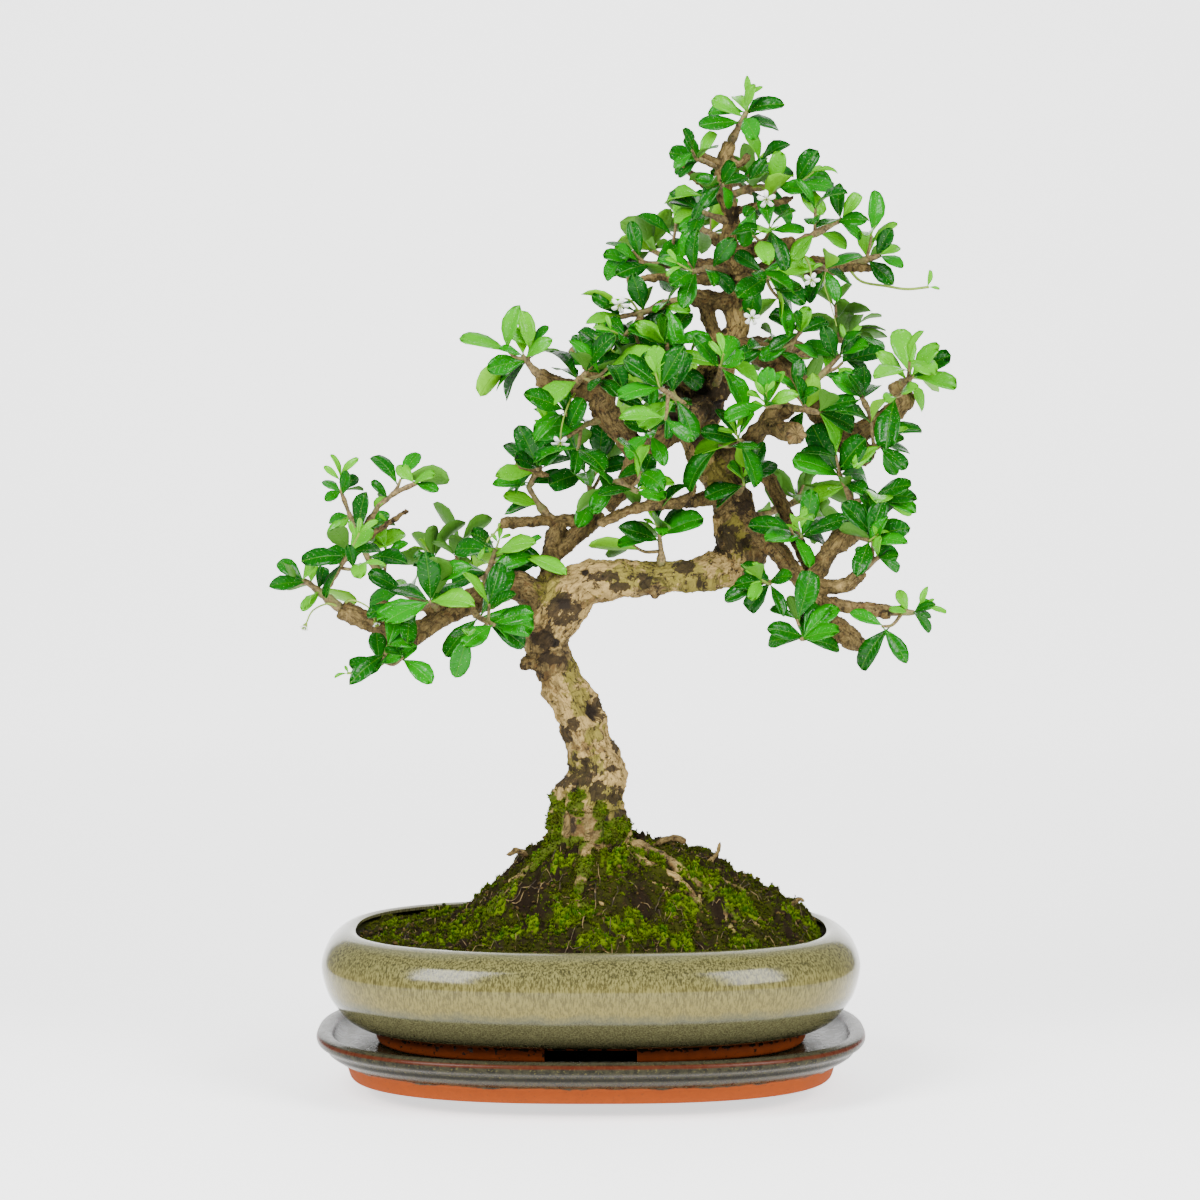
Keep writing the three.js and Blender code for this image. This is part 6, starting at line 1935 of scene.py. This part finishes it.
class BONSAI_OT_shoots(Operator):
    """Add the leafy shoots"""
    bl_idname = "bonsai.shoots"
    bl_label = "Shoots"

    def execute(self, context):
        settings = context.scene.bonsai_leaves
        plant = Plant(settings.extra)
        maker = LeafMaker(settings.thickness / MM)
        finishes = [
            make_leaf_finish(settings), make_twig_finish(context.scene.bonsai_wood), make_stalk_finish(),
        ]
        total = 0
        for shoot in plant.shoots:
            bm = leaf_form()
            lines = []
            for twig in shoot.twigs:
                count = max(3, math.ceil(twig.route.length / 3))
                lines.append([
                    (twig.point(i / count), twig.radius(i / count) * (1 + 0.24 * swing(i, total, 5)))
                    for i in range(count + 1)
                ])
            lines += [stretch_of(side, 2.5) for side in shoot.side_twigs]
            bm.from_mesh(rods(lines, 8))
            brown = len(bm.faces)
            if shoot.sprouts:
                bm.from_mesh(rods([stretch_of(sprout, 3) for sprout in shoot.sprouts], 6))
            bm.faces.ensure_lookup_table()
            for i, face in enumerate(bm.faces):
                face.material_index = 1 if i < brown else 2
                face.smooth = True
            for stand in shoot.stands:
                maker.add(bm, stand, shoot_tone(shoot.name, stand.key))
            total += len(shoot.stands)
            name = "leaves_" + shoot.name
            add_piece(name, finished_mesh(bm, name), finishes, ["shoot_" + shoot.name])
        return {"FINISHED"}


# Flowers and thin growth

class BONSAI_OT_flowers(Operator):
    """Add the white flowers and the thin green growth"""
    bl_idname = "bonsai.flowers"
    bl_label = "Flowers"

    def execute(self, context):
        settings = context.scene.bonsai_leaves
        petals = bmesh.new()
        lines = []
        for number, (points, openness) in enumerate(FLOWERS):
            route = Route([seen(*point) for point in points], [0.75, 0.6, 0.5, 0.55][:len(points)])
            lines.append(stretch_of(route, 2))
            self.add_flower(petals, route, number, openness, lines)
        material = plain_finish(
            "petal", 1.2, shade(settings.petal, 0.88), settings.petal, (0.1, 0.5), (0.35, 0.7),
            Roughness=0.55)
        add_form("flowers", petals, material)

        for points, radius in THIN_GROWTH:
            lines.append(stretch_of(Route([seen(*point) for point in points], [radius] * len(points)), 2))
        add_form("green_stalks", rod_form(lines, 6), make_stalk_finish())

        bm = leaf_form()
        maker = LeafMaker(settings.thickness / MM)
        for number, (place, clock, lean, length) in enumerate(SMALL_LEAVES):
            leaf = Leaf(SPROUT_KEYS + 10 * number, seen(*place), clock, lean, length)
            maker.add(bm, leaf.stand(0), 1)
        add_form("small_leaves", bm, make_leaf_finish(settings), smooth_shading=False)
        return {"FINISHED"}

    def add_flower(self, bm, route, number, openness, lines):
        """Five petals round the end of a stalk, with their stamens and sepals as thin lines."""
        tip = route.at(1)
        ahead = (tip - route.at(0.9)).normalized()
        ahead = (ahead + Vector((0, -0.9 * openness, 0))).normalized()
        aside = ahead.orthogonal().normalized()
        size = 5.6 * (0.55 + 0.45 * openness)
        for i in range(5):
            turn = Matrix.Rotation(math.tau * i / 5 + number, 4, ahead)
            out = (turn @ aside).normalized()
            lines.append([(tip, 0.25), (tip + (ahead + out * 0.4) * size * 0.7, 0.3)])
            lines.append([(tip - ahead * 1.2, 0.6), (tip + out * size * 0.3 + ahead * size * 0.2, 0.4)])
            wide = ahead.cross(out)
            petal = bmesh.ops.create_uvsphere(bm, u_segments=8, v_segments=5, radius=1)["verts"]
            for vert in petal:
                reach = (vert.co.x + 1) / 2
                flare = openness * reach + 0.1
                vert.co = (
                    tip + out * (reach * size * (0.3 + 0.7 * openness))
                    + ahead * (reach * size * (1 - flare * 0.9))
                    + wide * (vert.co.y * size * 0.36 * (0.35 + reach * 0.65)) + ahead * (vert.co.z * 0.25))


# Stage

BACKDROP = [(-1.6, 0), (0.85, 0), (1.25, 0.12), (1.5, 0.42), (1.6, 0.9), (1.6, 2.6)]
BACKDROP_HALF_WIDTH = 0.8
LAMP_WIDTH = 0.9


class BONSAI_OT_stage(Operator):
    """Add the camera, the lights and a plain backdrop"""
    bl_idname = "bonsai.stage"
    bl_label = "Stage"

    def execute(self, context):
        settings = context.scene.bonsai_stage
        shift = Vector((CENTRE_X, 0, 0))
        camera = bpy.data.cameras.new("front_view")
        camera.sensor_fit = "HORIZONTAL"
        camera.angle = math.radians(VIEW_ANGLE)
        view = add_object("front_view", camera)
        view.location = EYE * MM + shift
        view.rotation_euler = (AIM - EYE).to_track_quat("-Z", "Y").to_euler()
        context.scene.camera = view

        bm = bmesh.new()
        route = Route([(0, y, z) for y, z in BACKDROP])
        corners = [bm.verts.new(route.at(i / 60) + Vector((-BACKDROP_HALF_WIDTH, 0, 0))) for i in range(61)]
        edges = [bm.edges.new(pair) for pair in zip(corners, corners[1:])]
        grown = bmesh.ops.extrude_edge_only(bm, edges=edges)["geom"]
        far = [item for item in grown if isinstance(item, bmesh.types.BMVert)]
        bmesh.ops.translate(bm, vec=(2 * BACKDROP_HALF_WIDTH, 0, 0), verts=far)
        bmesh.ops.recalc_face_normals(bm, faces=bm.faces)
        if bm.faces[:][0].normal.z < 0:
            bmesh.ops.reverse_faces(bm, faces=bm.faces)
        mesh = bpy.data.meshes.new("backdrop")
        bm.to_mesh(mesh)
        bm.free()
        soften(mesh)
        backdrop = add_object("backdrop", mesh)
        finish = Finish(
            "backdrop_paper", Roughness=0.9, Emission_Color=(1, 1, 1, 1), Emission_Strength=settings.glow)
        mesh.materials.append(finish.set(Base_Color=settings.floor))

        for name, spot, power in (
            ("key_light", (-1.1, -1.25, 1.35), settings.key_power),
            ("fill_light", (1.2, -1.1, 1.1), settings.fill_power),
        ):
            light = bpy.data.lights.new(name, "AREA")
            light.shape = "RECTANGLE"
            light.size = LAMP_WIDTH
            light.size_y = LAMP_WIDTH * 1.3
            light.energy = power
            lamp = add_object(name, light)
            lamp.location = Vector(spot) + shift
            lamp.rotation_euler = (Vector((0, 0, 0.2)) - Vector(spot)).to_track_quat("-Z", "Y").to_euler()
        world = bpy.data.worlds.new("pale_room")
        world.use_nodes = True
        background = world.node_tree.nodes["Background"]
        background.inputs["Color"].default_value = (1, 1, 1, 1)
        background.inputs["Strength"].default_value = settings.world
        context.scene.world = world
        return {"FINISHED"}


class BONSAI_PT_panel(Panel):
    """Lists the pieces and their settings"""
    bl_idname = "BONSAI_PT_panel"
    bl_label = "Fukien Tea Bonsai"
    bl_space_type = "VIEW_3D"
    bl_region_type = "UI"
    bl_category = "Bonsai"

    def draw(self, context):
        for settings, operators in (
            ("bonsai_stage", ["bonsai.stage"]),
            ("bonsai_ceramics", ["bonsai.saucer", "bonsai.pot", "bonsai.screens"]),
            ("bonsai_soil", ["bonsai.soil", "bonsai.moss"]),
            ("bonsai_wood", ["bonsai.wood"]),
            ("bonsai_leaves", ["bonsai.shoots", "bonsai.flowers"]),
        ):
            group = getattr(context.scene, settings)
            box = self.layout.box()
            for name in group.__annotations__:
                box.prop(group, name)
            for operator in operators:
                box.operator(operator)


SETTINGS = {
    "bonsai_stage": StageSettings, "bonsai_ceramics": CeramicSettings, "bonsai_soil": SoilSettings,
    "bonsai_wood": WoodSettings, "bonsai_leaves": LeafSettings,
}
CLASSES = (
    *SETTINGS.values(), BONSAI_OT_stage, BONSAI_OT_saucer, BONSAI_OT_pot, BONSAI_OT_screens, BONSAI_OT_soil,
    BONSAI_OT_wood, BONSAI_OT_shoots, BONSAI_OT_flowers, BONSAI_OT_moss, BONSAI_PT_panel,
)


def register():
    for cls in CLASSES:
        bpy.utils.register_class(cls)
    for name, group in SETTINGS.items():
        setattr(bpy.types.Scene, name, PointerProperty(type=group))


def unregister():
    for name in SETTINGS:
        delattr(bpy.types.Scene, name)
    for cls in reversed(CLASSES):
        bpy.utils.unregister_class(cls)


def main():
    """Builds the whole bonsai."""
    register()
    bpy.ops.bonsai.stage()
    bpy.ops.bonsai.saucer()
    bpy.ops.bonsai.pot()
    bpy.ops.bonsai.screens()
    bpy.ops.bonsai.soil()
    bpy.ops.bonsai.wood()
    bpy.ops.bonsai.shoots()
    bpy.ops.bonsai.flowers()
    bpy.ops.bonsai.moss()


if __name__ == "__main__":
    main()
